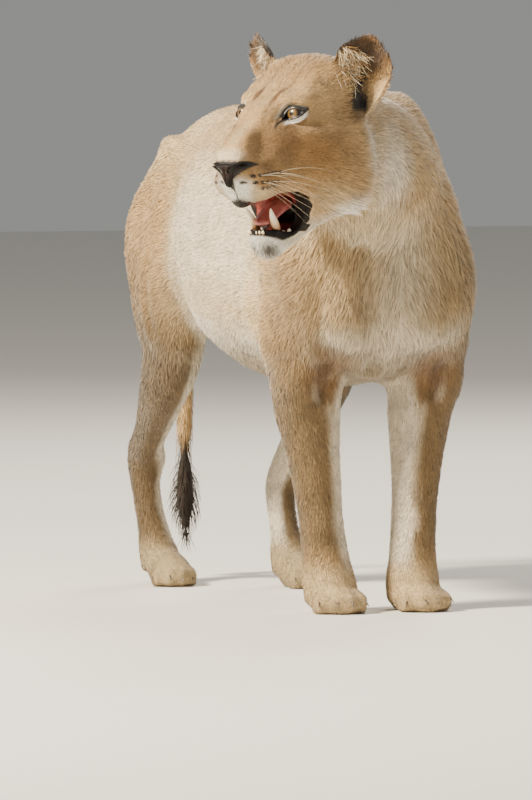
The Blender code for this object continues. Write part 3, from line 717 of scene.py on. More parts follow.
def make_eyeball(name, side):
    middle = np.array(eye_middle[name])
    across, rise, pole = axes_along((GAZE * (1, side, 1)) @ HEAD)
    rings = []
    for angle in np.concatenate((np.linspace(0.004, 0.62, 22), np.linspace(0.68, 2.6, 16))):
        bulge = CORNEA_HIGH * max(0.0, 1 - (angle / CORNEA_EDGE) ** 2)
        radius = EYE_RADIUS - 0.0003 + bulge
        wide = radius * math.sin(angle)
        rings.append(ring_round(middle + radius * math.cos(angle) * pole, across, rise, wide, wide, 48))
    ball = add_tube("eyeball_" + name, rings, caps=True)
    place = ball.data.attributes.new("iris_place", "FLOAT_VECTOR", "POINT")
    spots = read_points(ball.data) - middle
    flat = np.stack((spots @ across, spots @ rise, spots @ pole), 1) / EYE_RADIUS
    place.data.foreach_set("vector", flat.astype(np.float32).ravel())
    return ball


eyeballs = {name: make_eyeball(name, side) for name, side in SIDES.items()}
print("eyeballs", [len(ball.data.polygons) for ball in eyeballs.values()])

# %% Finish of the eyes
eye_finish, tree, shader = new_finish("wet_amber_eye", Roughness=0.30, Coat_Weight=1.0, Coat_Roughness=0.03)
spot = add_node(tree, "ShaderNodeAttribute", attribute_name="iris_place")
parts = add_node(tree, "ShaderNodeSeparateXYZ", {"Vector": spot.outputs["Vector"]})
squares = [add_node(tree, "ShaderNodeMath", {0: parts.outputs[a], 1: parts.outputs[a]}, operation="MULTIPLY")
           for a in ("X", "Y")]
total = add_node(tree, "ShaderNodeMath", {0: squares[0].outputs[0], 1: squares[1].outputs[0]},
                 operation="ADD")
radius = add_node(tree, "ShaderNodeMath", {0: total.outputs[0]}, operation="SQRT")
turn = add_node(tree, "ShaderNodeMath", {0: parts.outputs["Y"], 1: parts.outputs["X"]}, operation="ARCTAN2")
rays_at = add_node(tree, "ShaderNodeCombineXYZ", {"X": turn.outputs[0], "Y": radius.outputs[0]})
rays_scale = add_node(tree, "ShaderNodeVectorMath", {0: rays_at.outputs[0]}, operation="MULTIPLY")
rays_scale.inputs[1].default_value = (9.0, 3.0, 1.0)
rays = add_node(tree, "ShaderNodeTexNoise", {"Vector": rays_scale.outputs[0]}, {"Scale": 1.6, "Detail": 4.0})
shift = add_node(tree, "ShaderNodeMath", {0: rays.outputs["Fac"]}, {1: 0.5}, operation="SUBTRACT")
spread = add_node(tree, "ShaderNodeMath", {0: shift.outputs[0]}, {1: 0.12}, operation="MULTIPLY")
wavy = add_node(tree, "ShaderNodeMath", {0: radius.outputs[0], 1: spread.outputs[0]}, operation="ADD")
iris_ramp = add_node(tree, "ShaderNodeValToRGB", {"Fac": wavy.outputs[0]})
# Pupil, amber, the dark ring and the brown of the ball, by their distance from the pole.
IRIS_STOPS = ((0.0, "080604"), (0.160, "080604"), (0.195, "4A3214"), (0.29, "76592B"), (0.42, "654C24"),
              (0.50, "43311A"), (0.55, "0E0A07"), (0.68, "100C09"), (0.82, "33261D"))
iris_ramp.color_ramp.elements[0].position = 0.0
iris_ramp.color_ramp.elements[0].color = linear(IRIS_STOPS[0][1])
iris_ramp.color_ramp.elements[1].position = IRIS_STOPS[-1][0]
iris_ramp.color_ramp.elements[1].color = linear(IRIS_STOPS[-1][1])
for place, colour in IRIS_STOPS[1:-1]:
    iris_ramp.color_ramp.elements.new(place).color = linear(colour)
tree.links.new(iris_ramp.outputs["Color"], shader.inputs["Base Color"])
for ball in eyeballs.values():
    ball.data.materials.append(eye_finish)

# %% [markdown]
# ## Rims of the lids
# A lid ends in a bare black edge, thick enough to catch a wet light. It is a thin tube round
# the almond, a little flatter than round, and it also makes the corner where tears run.

# %% Rims of the lids
RIM_WIDE, RIM_TALL = 0.00165, 0.00110  # half sizes
skin_tree = BVHTree.FromObject(skin, bpy.context.evaluated_depsgraph_get())


def make_rim(name, side):
    line = rounded(EYE_LINE, 1)[::2]
    x, y = line.T
    places = (EYE_BALL + x[:, None] * EYE_ACROSS + y[:, None] * EYE_RISE
              + over_ball(np.hypot(x, y))[:, None] * EYE_OUT)
    eye = in_eye_frame(places)
    on_balls = 1 - step(np.hypot(eye[:, 0], eye[:, 1]), 0.0160, 0.0220)
    out = EYE_OUT * (1, side, 1)
    path = []
    for place, on_ball in zip(places * (1, side, 1), on_balls):
        start = Vector(from_head(place + out * 0.02))
        hit = skin_tree.ray_cast(start, Vector(-out @ HEAD), 0.04)[0]
        surface = on_head(np.array(hit)) if hit else place
        path.append(on_ball * place + (1 - on_ball) * surface)
    loop = np.array([(i, (i + 1) % len(path)) for i in range(len(path))])
    path = relax(np.array(path), loop, 0.5, 3)
    rings = []
    for i, place in enumerate(path):
        along = path[(i + 1) % len(path)] - path[i - 1]
        along /= np.linalg.norm(along)
        wide = np.cross(along, out)
        wide /= np.linalg.norm(wide)
        rings.append(ring_round(place, wide, out, RIM_WIDE, RIM_TALL, 8))
    rings.append(rings[0])
    return add_tube("lid_rim_" + name, from_head(np.array(rings)))


rims = {name: make_rim(name, side) for name, side in SIDES.items()}
for rim in rims.values():
    pick(rim)
    bpy.ops.object.mode_set(mode="EDIT")
    bpy.ops.mesh.select_all(action="SELECT")
    bpy.ops.mesh.remove_doubles(threshold=0.00001)
    bpy.ops.mesh.normals_make_consistent(inside=False)
    bpy.ops.object.mode_set(mode="OBJECT")
rim_finish, tree, shader = new_finish("wet_black_skin", Roughness=0.34, Coat_Weight=0.6, Coat_Roughness=0.12)
rim_where = add_node(tree, "ShaderNodeTexCoord")
rim_grain = add_node(tree, "ShaderNodeTexNoise", {"Vector": rim_where.outputs["Object"]},
                     {"Scale": 900.0, "Detail": 3.0})
rim_tone = add_node(tree, "ShaderNodeMix", {"Factor": rim_grain.outputs["Fac"]},
                    {MIX_A: linear("0E0B0A"), MIX_B: linear("2A211D")}, data_type="RGBA")
rim_bump = add_node(tree, "ShaderNodeBump", {"Height": rim_grain.outputs["Fac"]},
                    {"Strength": 0.35, "Distance": 0.0006})
tree.links.new(rim_tone.outputs[MIX_RESULT], shader.inputs["Base Color"])
tree.links.new(rim_bump.outputs["Normal"], shader.inputs["Normal"])
for rim in rims.values():
    rim.data.materials.append(rim_finish)
print("rims of the lids", [len(rim.data.polygons) for rim in rims.values()])

# %% [markdown]
# ## Nose, tongue and teeth
# Nose, tongue and canines start from copies of their solids, remeshed finely enough for the
# nostrils and for the groove of the tongue. The nostrils are commas pressed into the leather
# from in front. The leather is pebbled, and a little browner in its middle.

# %% Nose leather
def fine_copy(node, name, voxel, rounds):
    """A copy of a solid, remeshed finely and relaxed."""
    made = bpy.data.objects.new(name, nodes[node].data.copy())
    made.data.name = name
    bpy.context.scene.collection.objects.link(made)
    made.data.materials.clear()
    pick(made)
    bpy.ops.object.mode_set(mode="EDIT")
    bpy.ops.mesh.select_all(action="SELECT")
    bpy.ops.mesh.remove_doubles(threshold=0.000001)
    bpy.ops.object.mode_set(mode="OBJECT")
    fine = made.modifiers.new("fine", "REMESH")
    fine.mode = "VOXEL"
    fine.voxel_size = voxel
    bpy.ops.object.modifier_apply(modifier=fine.name)
    write_points(made.data, relax(read_points(made.data), edges_of(made.data), 0.5, rounds))
    made.data.shade_smooth()
    return made


def near_line(flat, line):
    """The distance from flat places to an open line, and how far along it the nearest point is."""
    best = np.full(len(flat), FAR_OFF)
    share = np.zeros(len(flat))
    for i, (a, b) in enumerate(zip(line, line[1:])):
        along = b - a
        t = np.clip(((flat - a) @ along) / (along @ along), 0, 1)
        away = np.linalg.norm(flat - a - t[:, None] * along, axis=1)
        closer = away < best
        best[closer] = away[closer]
        share[closer] = (i + t[closer]) / (len(line) - 1)
    return best, share


# The nostril's curve from its inner end outwards, as sideways and up.
NOSTRIL = np.array(((0.0090, -0.0915), (0.0125, -0.0872), (0.0200, -0.0842), (0.0320, -0.0806)))
nose = fine_copy("nose_leather", "nose_leather_skin", 0.00085, 5)
face = on_head(read_points(nose.data))
far = np.abs(face[:, 1])
wing = step(far, 0.016, 0.031)
face[:, 1] *= 1 - 0.62 * step(-face[:, 2], 0.089, 0.112)  # narrow below
far = np.abs(face[:, 1])
face[:, 1] += np.sign(face[:, 1]) * 0.0012 * wing
face[:, 2] += wing * 0.35 * (-0.0795 - face[:, 2])  # the wings thin out
face[:, 2] -= 0.0060 * step(-face[:, 2], 0.090, 0.110)
face[:, 2] -= 0.0040 * (1 - step(far, 0.010, 0.026)) * step(face[:, 2], -0.086, -0.074)  # its top dips
hole, along_hole = near_line(both_sides(face)[:, 1:], NOSTRIL)
reach = 0.0044 - 0.0018 * along_hole
ahead = step(face[:, 0], 0.086, 0.096)
nostril_rim = step(hole, 0.4 * reach, reach) * (1 - step(hole, reach, reach + 0.0035))
face[:, 0] += 0.0012 * ahead * nostril_rim
face[:, 0] -= 0.0100 * ahead * (1 - step(hole, 0.30 * reach, reach))
face[:, 0] -= 0.0020 * np.exp(-(face[:, 1] / 0.0014) ** 2) * step(-face[:, 2], 0.084, 0.090)  # cleft
write_points(nose.data, from_head(face))
print("nose leather", len(nose.data.vertices), "points")

# %% Finish of the nose leather
nose_finish, tree, shader = new_finish("pebbled_nose_leather", Roughness=0.65, Specular_IOR_Level=0.16,
                                       Coat_Weight=0.04, Coat_Roughness=0.25)
middle = (1 - step(far, 0.004, 0.013)) * step(-face[:, 2], 0.080, 0.088)
middle = middle * (1 - step(-face[:, 2], 0.098, 0.108)) * step(hole, 0.001, 0.004)
nose.data.attributes.new("middle", "FLOAT", "POINT").data.foreach_set("value", middle.astype(np.float32))
nose_middle = add_node(tree, "ShaderNodeAttribute", attribute_name="middle")
nose_where = add_node(tree, "ShaderNodeTexCoord")
pebbles = add_node(tree, "ShaderNodeTexVoronoi", {"Vector": nose_where.outputs["Object"]}, {"Scale": 900.0})
blotches = add_node(tree, "ShaderNodeTexNoise", {"Vector": nose_where.outputs["Object"]},
                    {"Scale": 160.0, "Detail": 4.0})
nose_dark = add_node(tree, "ShaderNodeMix", {"Factor": blotches.outputs["Fac"]},
                     {MIX_A: linear("0D0A0A"), MIX_B: linear("1D1614")}, data_type="RGBA")
nose_tone = add_node(tree, "ShaderNodeMix",
                     {"Factor": nose_middle.outputs["Fac"], MIX_A: nose_dark.outputs[MIX_RESULT]},
                     {MIX_B: linear("241713")}, data_type="RGBA")
nose_bump = add_node(tree, "ShaderNodeBump", {"Height": pebbles.outputs["Distance"]},
                     {"Strength": 0.5, "Distance": 0.0006})
tree.links.new(nose_tone.outputs[MIX_RESULT], shader.inputs["Base Color"])
tree.links.new(nose_bump.outputs["Normal"], shader.inputs["Normal"])
nose.data.materials.append(nose_finish)

# %% [markdown]
# The tongue lies flat with a groove down its middle and fine rasps across its back. The
# canines are the solids made round, browner at the root. Six small front teeth stand in a
# row between them, and two cheek teeth behind each canine.

# %% Tongue
tongue = fine_copy("tongue", "tongue_flesh", 0.0012, 8)
face = on_head(read_points(tongue.data))
top = step(read_normals(tongue.data)[:, 2], 0.1, 0.7)
face[:, 2] -= 0.0022 * np.exp(-(face[:, 1] / 0.0030) ** 2) * top  # groove
face[:, 2] += 0.0012 * top * (1 - step(np.abs(face[:, 1]), 0.004, 0.016))
face[:, 2] += 0.0105 * step(0.020 - face[:, 0], 0.0, 0.045)  # its back rises
write_points(tongue.data, from_head(face))
tongue_finish, tree, shader = new_finish("wet_pink_tongue", Roughness=0.38, Coat_Weight=0.5,
                                         Coat_Roughness=0.2, Subsurface_Weight=0.15)
shader.inputs["Subsurface Radius"].default_value = (0.004, 0.0015, 0.001)
tongue_where = add_node(tree, "ShaderNodeTexCoord")
rasps = add_node(tree, "ShaderNodeTexVoronoi", {"Vector": tongue_where.outputs["Object"]}, {"Scale": 620.0})
flush = add_node(tree, "ShaderNodeTexNoise", {"Vector": tongue_where.outputs["Object"]},
                 {"Scale": 70.0, "Detail": 4.0})
tongue_tone = add_node(tree, "ShaderNodeMix", {"Factor": flush.outputs["Fac"]},
                       {MIX_A: linear("86413C"), MIX_B: linear("BC6E66")}, data_type="RGBA")
tongue_bump = add_node(tree, "ShaderNodeBump", {"Height": rasps.outputs["Distance"]},
                       {"Strength": 0.6, "Distance": 0.0007})
tree.links.new(tongue_tone.outputs[MIX_RESULT], shader.inputs["Base Color"])
tree.links.new(tongue_bump.outputs["Normal"], shader.inputs["Normal"])
tongue.data.materials.append(tongue_finish)
print("tongue", len(tongue.data.vertices), "points")

# %% Finish of the teeth
tooth_finish, tree, shader = new_finish("ivory_tooth", Roughness=0.28, Coat_Weight=0.4, Coat_Roughness=0.1)
tooth_up = add_node(tree, "ShaderNodeAttribute", attribute_name="from_root")
tooth_where = add_node(tree, "ShaderNodeTexCoord")
tooth_marks = add_node(tree, "ShaderNodeTexNoise", {"Vector": tooth_where.outputs["Object"]},
                       {"Scale": 260.0, "Detail": 5.0})
tooth_faint = add_node(tree, "ShaderNodeMath", {0: tooth_marks.outputs["Fac"]}, {1: 0.30},
                       operation="MULTIPLY")
tooth_place = add_node(tree, "ShaderNodeMath", {0: tooth_up.outputs["Fac"], 1: tooth_faint.outputs[0]},
                       operation="ADD")
tooth_ramp = add_node(tree, "ShaderNodeValToRGB", {"Fac": tooth_place.outputs[0]})
tooth_ramp.color_ramp.elements[0].position = 0.15
tooth_ramp.color_ramp.elements[0].color = linear("8A5E33")
tooth_ramp.color_ramp.elements[1].position = 0.75
tooth_ramp.color_ramp.elements[1].color = linear("F1E6CB")
tooth_ramp.color_ramp.elements.new(0.42).color = linear("D9B98A")
tooth_bump = add_node(tree, "ShaderNodeBump", {"Height": tooth_marks.outputs["Fac"]},
                      {"Strength": 0.15, "Distance": 0.0005})
tree.links.new(tooth_ramp.outputs["Color"], shader.inputs["Base Color"])
tree.links.new(tooth_bump.outputs["Normal"], shader.inputs["Normal"])


def mark_root(tooth, low, high):
    """Notes how far each point is from the root, 0, to the tip, 1, and gives the finish."""
    heights = on_head(read_points(tooth.data))[:, 2]
    share = np.clip((heights - low) / (high - low), 0, 1).astype(np.float32)
    tooth.data.attributes.new("from_root", "FLOAT", "POINT").data.foreach_set("value", share)
    tooth.data.materials.append(tooth_finish)


# %% Teeth
GUM_LINE = -0.188
CANINE_TIP = -0.153
FRONT_TEETH = (-0.0135, -0.0082, -0.0028, 0.0028, 0.0082, 0.0135)  # sideways
CHEEK_TEETH = ((-0.008, 0.0270, 0.006), (-0.021, 0.0290, 0.009))  # forward, sideways, height
TOOTH_SHAPE = ((0.0, 0.80), (0.2, 0.95), (0.45, 1.0), (0.7, 0.86), (0.9, 0.52), (1.0, 0.14))
canines = {}
for name in SIDES:
    canines[name] = fine_copy("canine_lower_" + name, "canine_" + name, 0.0007, 6)
    mark_root(canines[name], GUM_LINE, CANINE_TIP)


def make_tooth(name, root, tip, wide, deep):
    """One tapered tooth on the head's axes, from a root to a blunt tip."""
    root, tip = np.array(root), np.array(tip)
    across = np.array((0.0, 1.0, 0.0))
    ahead = np.cross(tip - root, across)
    ahead /= np.linalg.norm(ahead)
    rings = [ring_round(root + t * (tip - root), across, ahead, size * wide, size * deep, 12)
             for t, size in TOOTH_SHAPE]
    tooth = add_tube(name, from_head(np.array(rings)), caps=True)
    mark_root(tooth, root[2], tip[2])
    return tooth


small_teeth = []
for i, sideways in enumerate(FRONT_TEETH):
    big = 1.0 + 0.25 * (abs(sideways) > 0.012)  # the outer two are bigger
    forward = 0.031 - 18 * sideways ** 2  # the row is curved
    small_teeth.append(make_tooth("front_tooth_%d" % (i + 1), (forward, sideways, -0.196),
                                  (forward + 0.002, sideways * 1.05, -0.1900 + 0.002 * (big - 1)),
                                  0.0021 * big, 0.0018 * big))
for side_name, side in SIDES.items():
    for i, (forward, sideways, tall) in enumerate(CHEEK_TEETH):
        small_teeth.append(make_tooth("cheek_tooth_%s_%d" % (side_name, i + 1),
                                      (forward, side * sideways, -0.198),
                                      (forward, side * sideways, -0.196 + tall), 0.0028, 0.0058))
print(len(small_teeth) + len(canines), "teeth")

# %% [markdown]
# ## Markings
# Skin and coat take their colour from one rule, so that nothing shows where the tufts part.
# The rule is a base tan with soft patches laid over it in order: paler below and inside the legs, browner on
# the face, rust at the whorls of the elbows, dark at the lips, on the backs of the ears and at the end of the
# tail. Some patches are painted shade: browner low on the haunch, dark brown on the thigh, the outer legs and
# low on the shoulder, dark along the crease of the elbow, a wider black edge above the eye, and dark in the
# cup of the ear. One is painted light: paler high on the rump. First come the places that other steps need
# too: the mouth, the ears and the whisker spots.

# %% Colours of the coat and the bare skin
# The darker brown listed last in the first row is painted shade, laid on the thigh, the outer legs and low on
# the shoulder.
COLOURS = {name: np.array(linear(hex_colour)[:3]) for name, hex_colour in {
    "sand": "C5A26E", "straw": "DCC497", "tawny": "9E7643", "umber": "735029", "painted_shade_brown": "6A5537",
    "cream": "E9DDC6", "white": "F4EFE4", "rust": "7E5226", "dark": "2C1F16", "black": "15100D",
    "red": "8E4039"}.items()}
print(len(COLOURS), "colours")

# %% Where the mouth and its lips are
# The open mouth from the side, as forward and up.
MOUTH_LINE = np.array((
    (-0.032, -0.150), (-0.024, -0.137), (-0.007, -0.127), (0.012, -0.127), (0.040, -0.136),
    (0.066, -0.145), (0.084, -0.146), (0.140, -0.156), (0.140, -0.190), (0.044, -0.178),
    (0.024, -0.179), (-0.004, -0.187), (-0.022, -0.187), (-0.032, -0.172)))
# The dark skin round and under the nose leather, as sideways and up.
UNDER_NOSE = np.array((
    (-0.010, -0.076), (0.032, -0.076), (0.037, -0.080), (0.022, -0.092), (0.009, -0.104),
    (0.003, -0.119), (-0.010, -0.121)))


def mouth_edge(face):
    """The distance to the outline of the open mouth, seen from the side: below 0 inside it."""
    return to_outline(face[:, (0, 2)], MOUTH_LINE)[0]


def inside_mouth(face):
    """1 within the outline of the mouth, in the hollow behind it and on its walls."""
    far = np.abs(face[:, 1])
    outline = 1 - step(mouth_edge(face), -0.0002, 0.0022)
    hollow = ((face[:, 0] - 0.004) / 0.071) ** 2 + (far / 0.037) ** 2
    hollow = 1 - step(hollow + ((face[:, 2] + 0.160) / 0.041) ** 2, 0.95, 1.06)
    walls = (far < 0.050) & between(face[:, 0], -0.056, 0.030) & (np.abs(face[:, 2] + 0.160) < 0.032)
    reach = step(face[:, 0], -0.075, -0.065) * (1 - step(face[:, 0], 0.10, 0.11))
    return np.maximum(np.maximum(outline, hollow), walls) * reach


def lip_share(face):
    """Bare black lip round the mouth: a wide fold at the corner, a thin edge in front."""
    edge = mouth_edge(face)
    corner = 1 - step(face[:, 0], -0.030, 0.005)
    below = step(-face[:, 2], 0.160, 0.176)
    wide = 0.0022 + 0.0030 * corner + below * (0.0195 - 0.0130 * corner)
    wide += 0.0040 * step(face[:, 0], 0.062, 0.074) * (1 - below)
    reach = step(face[:, 0], -0.08, -0.06) * (1 - step(face[:, 0], 0.118, 0.124))
    return (1 - step(edge, wide * 0.80, wide * 1.15)) * reach


# %% Where the ears and the whisker spots are
EAR_TALL = 0.132
EAR_WIDE = 0.108
EAR_ROOT = np.array((-0.114, 0.079, 0.004))
EAR_LEAN = np.array((-0.06, 0.36, 1.0)) / np.linalg.norm((-0.06, 0.36, 1.0))
EAR_FACING = np.array((0.80, 0.60, 0.05))
EAR_FACING = EAR_FACING - EAR_LEAN * (EAR_FACING @ EAR_LEAN)
EAR_FACING /= np.linalg.norm(EAR_FACING)
EAR_ACROSS = np.cross(EAR_LEAN, EAR_FACING)
EAR_HOLLOW = np.array(((0.44, -0.04), (0.22, 0.06), (-0.06, 0.20)))  # share of its height, of its width
WHISKER_ROWS = (
    # first spot (forward, up), last spot, number
    ((0.085, -0.0985), (0.037, -0.0925), 7),
    ((0.092, -0.1090), (0.040, -0.1080), 7),
    ((0.072, -0.1180), (0.048, -0.1150), 4),
)
WHISKER_SPOTS = np.concatenate([np.linspace(first, last, number) for first, last, number in WHISKER_ROWS])


def ear_place(face):
    """How far up an ear a place is, how far from its front edge, -1, to its back one, 1, and
    how far ahead of its sheet in metres."""
    far = both_sides(face) - EAR_ROOT
    return far @ EAR_LEAN / EAR_TALL, far @ EAR_ACROSS / (EAR_WIDE / 2), far @ EAR_FACING


def ear_hole(tall, wide):
    """The opening, black as painted shade: a slanting hollow, low and towards the back edge."""
    away = near_line(np.column_stack((tall, wide * 0.5)), EAR_HOLLOW)[0]
    return 1 - step(away, 0.09, 0.16)


def front_facing(face, normals):
    """How far a surface of the head looks forward and outward, from -1 to 1."""
    return normals @ HEAD[0] * 0.8 + np.sign(face[:, 1]) * (normals @ HEAD[1]) * 0.6


def by_the_eye(face):
    """Places in the frame of the nearer eye, their distance to its opening, and which are near."""
    eye = in_eye_frame(face)
    return eye, to_outline(eye[:, :2], EYE_LINE)[0], (eye[:, 2] > -0.004) & (np.abs(eye[:, 0]) < 0.06)


print(len(WHISKER_SPOTS), "whisker spots on each side")

# %% [markdown]
# Each function below gives colours and how much of each lies at every place, in the order in
# which they are laid, the body's first and the mouth's last. A share over 1 makes the middle
# of a patch flat and its edge sharper.

# %% Markings of the trunk, legs and tail
def body_marks(points, normals, face):
    x, y, z = on_body(points).T
    up = normals[:, 2]
    head = head_share(face)
    trunk = (1 - head) * step(z, 0.34, 0.46)
    flank = 1 - step(up, 0.25, 0.75)
    yield "tawny", 0.30 * trunk * step(up, 0.75, 1.0) * step(z, 0.70, 0.80)
    yield "straw", 0.85 * trunk * step(y, -0.26, -0.16) * (1 - step(y, 0.18, 0.30)) * flank
    yield "cream", (0.75 * trunk * step(y, -0.22, -0.12) * (1 - step(y, 0.14, 0.26)) * flank
                    * step(z, 0.48, 0.60))
    # Painted light: paler high on the rump, where light falls from above.
    yield "straw", 0.60 * trunk * step(y, 0.16, 0.30) * step(z, 0.68, 0.80) * (1 - step(up, 0.85, 1.0))
    # Painted shade: browner low on the haunch, dark brown on the thigh, and low on the shoulder and the front
    # of the chest.
    yield "tawny", 0.30 * trunk * step(y, 0.20, 0.32) * (1 - step(z, 0.66, 0.78))
    yield "painted_shade_brown", 0.85 * step(y, 0.12, 0.26) * (1 - step(z, 0.42, 0.66)) * (1 - head)
    yield "painted_shade_brown", 0.52 * trunk * step(-y, 0.24, 0.32) * (1 - step(z, 0.56, 0.72))
    yield "cream", 0.85 * trunk * step(-up, 0.15, 0.70) * (1 - step(z, 0.60, 0.72))
    breast = (1 - head) * step(-y, 0.33, 0.43) * step(z, 0.36, 0.46) * (1 - step(z, 0.76, 0.88))
    midline = np.exp(-((x + 0.01 - 0.10 * (z - 0.50)) / 0.050) ** 2)
    throat = step(face[:, 0], -0.17, -0.10) * (1 - step(face[:, 0], -0.01, 0.03))
    yield "straw", 0.20 * breast
    yield "cream", 0.50 * breast * midline * (1 - step(z, 0.62, 0.74))
    yield "cream", 0.85 * throat * step(-face[:, 2], 0.150, 0.200) * step(z, 0.55, 0.60)
    legs = 1 - step(z, 0.36, 0.50)
    inner = step(-np.sign(x) * normals[:, 0], 0.10, 0.70)
    behind = step(normals[:, 1], 0.2, 0.8) * step(-y, 0.05, 0.15)
    # Dark brown on the outer faces of the legs: partly their own tone, partly painted shade.
    yield "painted_shade_brown", 0.80 * legs * (1 - inner) * step(z, 0.04, 0.14)
    yield "cream", 1.00 * legs * inner * step(z, 0.05, 0.11)
    yield "cream", 0.55 * legs * behind
    yield "straw", 0.60 * (1 - step(z, 0.05, 0.10))
    sides = np.column_stack((np.abs(x), y, z))
    crease = to_thread(sides, ((0.102, -0.350, 0.425), (0.101, -0.343, 0.400), (0.101, -0.332, 0.372)))
    yield "rust", 0.70 * blob(sides, (0.096, -0.350, 0.410), (0.058, 0.085, 0.080))  # whorls
    yield "rust", 0.40 * blob(sides, (0.060, -0.362, 0.445), (0.050, 0.060, 0.045))
    # Painted shade: dark along the crease at the elbow.
    yield "dark", 0.40 * (1 - step(crease, 0.001, 0.020))
    yield "rust", 0.35 * legs * blob(sides * (0, 1, 1), (0, -0.36, 0.23), (1, 0.06, 0.10))
    tail = step(y, 0.545, 0.575)
    yield "sand", tail * (1 - step(z, 0.55, 0.65))
    yield "dark", 1.1 * tail * (1 - step(z, 0.225, 0.275))


# %% Markings of the face
FACE_PATCHES = (
    # colour, share, middle (forward, sideways, up), half sizes
    ("umber", 0.75, (0.030, 0.042, -0.044), (0.090, 0.040, 0.070)),  # side of the bridge
    ("umber", 0.90, (0.000, 0.060, -0.048), (0.050, 0.040, 0.034)),  # under the eye
    ("tawny", 1.10, (-0.030, 0.080, -0.062), (0.080, 0.055, 0.060)),  # cheekbone
    ("straw", 0.55, (0.070, 0.000, -0.040), (0.080, 0.018, 0.055)),  # bridge
    ("cream", 0.60, (0.104, 0.010, -0.068), (0.026, 0.034, 0.022)),  # over the nose leather
    ("umber", 0.70, (0.060, 0.045, -0.092), (0.055, 0.034, 0.026)),  # top of the whisker pad
    ("tawny", 0.90, (0.055, 0.048, -0.112), (0.050, 0.034, 0.030)),
    ("white", 1.40, (0.090, 0.010, -0.124), (0.042, 0.042, 0.036)),  # front of the upper lip
    ("straw", 0.80, (0.070, 0.040, -0.126), (0.040, 0.025, 0.018)),
    ("straw", 0.55, (-0.065, 0.085, -0.140), (0.060, 0.050, 0.050)),  # cheek
    ("white", 1.30, (-0.112, 0.085, -0.170), (0.060, 0.070, 0.060)),  # ruff
    ("cream", 0.90, (-0.146, 0.110, -0.070), (0.036, 0.060, 0.120)),
    ("cream", 1.10, (-0.215, 0.110, -0.100), (0.075, 0.095, 0.150)),
    ("white", 1.20, (-0.080, 0.070, -0.195), (0.050, 0.050, 0.030)),  # jaw
    ("rust", 0.70, (-0.130, 0.010, -0.225), (0.060, 0.070, 0.050)),  # throat
    ("white", 2.20, (0.020, 0.000, -0.222), (0.062, 0.060, 0.042)),  # chin
    ("dark", 1.10, (0.010, 0.012, -0.218), (0.028, 0.022, 0.020)),  # spot of the chin
)
BROW_PATCHES = (
    ("umber", 1.70, (0.000, 0.0205, 0.031), (0.060, 0.0075, 0.018)),  # streak over the eye's inner end
    ("rust", 0.60, (0.000, 0.0205, 0.029), (0.060, 0.0060, 0.014)),
)
BROW_LINE = np.array(((0.026, 0.034), (0.024, 0.060), (0.024, 0.092)))  # sideways, up


def face_marks(face):
    head = head_share(face)
    far = both_sides(face)
    f, _, u = far.T
    lower = (1 - step(-u, 0.125, 0.175)) * step(f, -0.12, -0.06)
    yield "tawny", 0.50 * head * step(-u, -0.020, 0.040) * lower
    yield "tawny", 0.55 * head * step(u, 0.030, 0.090) * step(-f, -0.03, 0.05)  # forehead
    for name, share, middle, sizes in FACE_PATCHES:
        yield name, share * blob(far, middle, sizes)
    spots = np.full(len(face), FAR_OFF)
    for spot in WHISKER_SPOTS:
        spots = np.minimum(spots, np.linalg.norm(face[:, (0, 2)] - spot, axis=1))
    yield "black", (1 - step(spots, 0.0022, 0.0037)) * (far[:, 1] > 0.016) * (f > 0.015)
    for name, share, middle, sizes in BROW_PATCHES:
        yield name, share * blob(far, middle, sizes)
    ridge = near_line(far[:, 1:], BROW_LINE)[0]
    yield "umber", 0.45 * (1 - step(ridge, 0.0008, 0.0040)) * (f > -0.10)
    yield "umber", 0.60 * blob(far, (-0.050, 0.062, 0.052), (0.030, 0.014, 0.014))


# %% Markings round the eyes and in the ears
TEAR_LINE = np.array(((-0.0290, -0.0120), (-0.0350, -0.0165), (-0.0385, -0.0230)))  # across, rise


def eye_marks(face):
    eye, edge, near = by_the_eye(face)
    above = step(eye[:, 1] - (0.002 + 0.30 * eye[:, 0]), -0.002, 0.003)
    under = (1 - above) * step(eye[:, 0], -0.0270, -0.0200) * (1 - step(eye[:, 0], 0.0120, 0.0180))
    yield "white", near * under * step(edge, 0.0012, 0.0024) * (1 - step(edge, 0.0068, 0.0092))
    yield "umber", 0.75 * near * under * step(edge, 0.0070, 0.0090) * (1 - step(edge, 0.0110, 0.0180))
    pale = above * step(-eye[:, 0], 0.010, 0.022)
    yield "cream", 0.60 * near * pale * step(edge, 0.004, 0.007) * (1 - step(edge, 0.009, 0.014))
    # The black edge of the lids, wider above the eye, where it is partly painted shade under the brow.
    yield "black", near * (1 - step(edge, 0.0014 + 0.0030 * above, 0.0024 + 0.0044 * above))
    tear = near_line(eye[:, :2], TEAR_LINE)[0]
    yield "dark", near * (1 - step(tear, 0.0012, 0.0032))


def ear_marks(face, normals):
    far = both_sides(face)
    ears = ear_share(face)
    tall, wide, ahead = ear_place(face)
    back = ears * step(-front_facing(face, normals), -0.1, 0.3)
    cup = ears * (1 - back)
    yield "umber", 0.60 * blob(far, (-0.105, 0.098, 0.012), (0.055, 0.035, 0.035))
    yield "dark", 0.55 * blob(far, (-0.112, 0.098, -0.004), (0.022, 0.020, 0.016))
    yield "umber", 0.90 * cup * (1 - step(wide, 0.70, 0.95))
    # Painted shade in the cup of the ear: darker in its middle and black in its hollow.
    shade = step(tall, 0.34, 0.60) * (1 - step(tall, 0.88, 0.98))
    yield "dark", 0.75 * cup * shade * (1 - step(wide, 0.35, 0.80))
    yield "tawny", 0.60 * cup * step(wide, 0.75, 0.95)
    hollow = ear_hole(tall, wide) * step(far[:, 2], -0.004, 0.014) * step(ahead, -0.026, -0.018)
    yield "black", 1.2 * (1 - back) * hollow * (tall < 0.9)
    yield "dark", 0.90 * back * step(far[:, 2], 0.050, 0.075)
    yield "umber", 0.70 * ears * step(np.abs(wide), 0.80, 0.98)


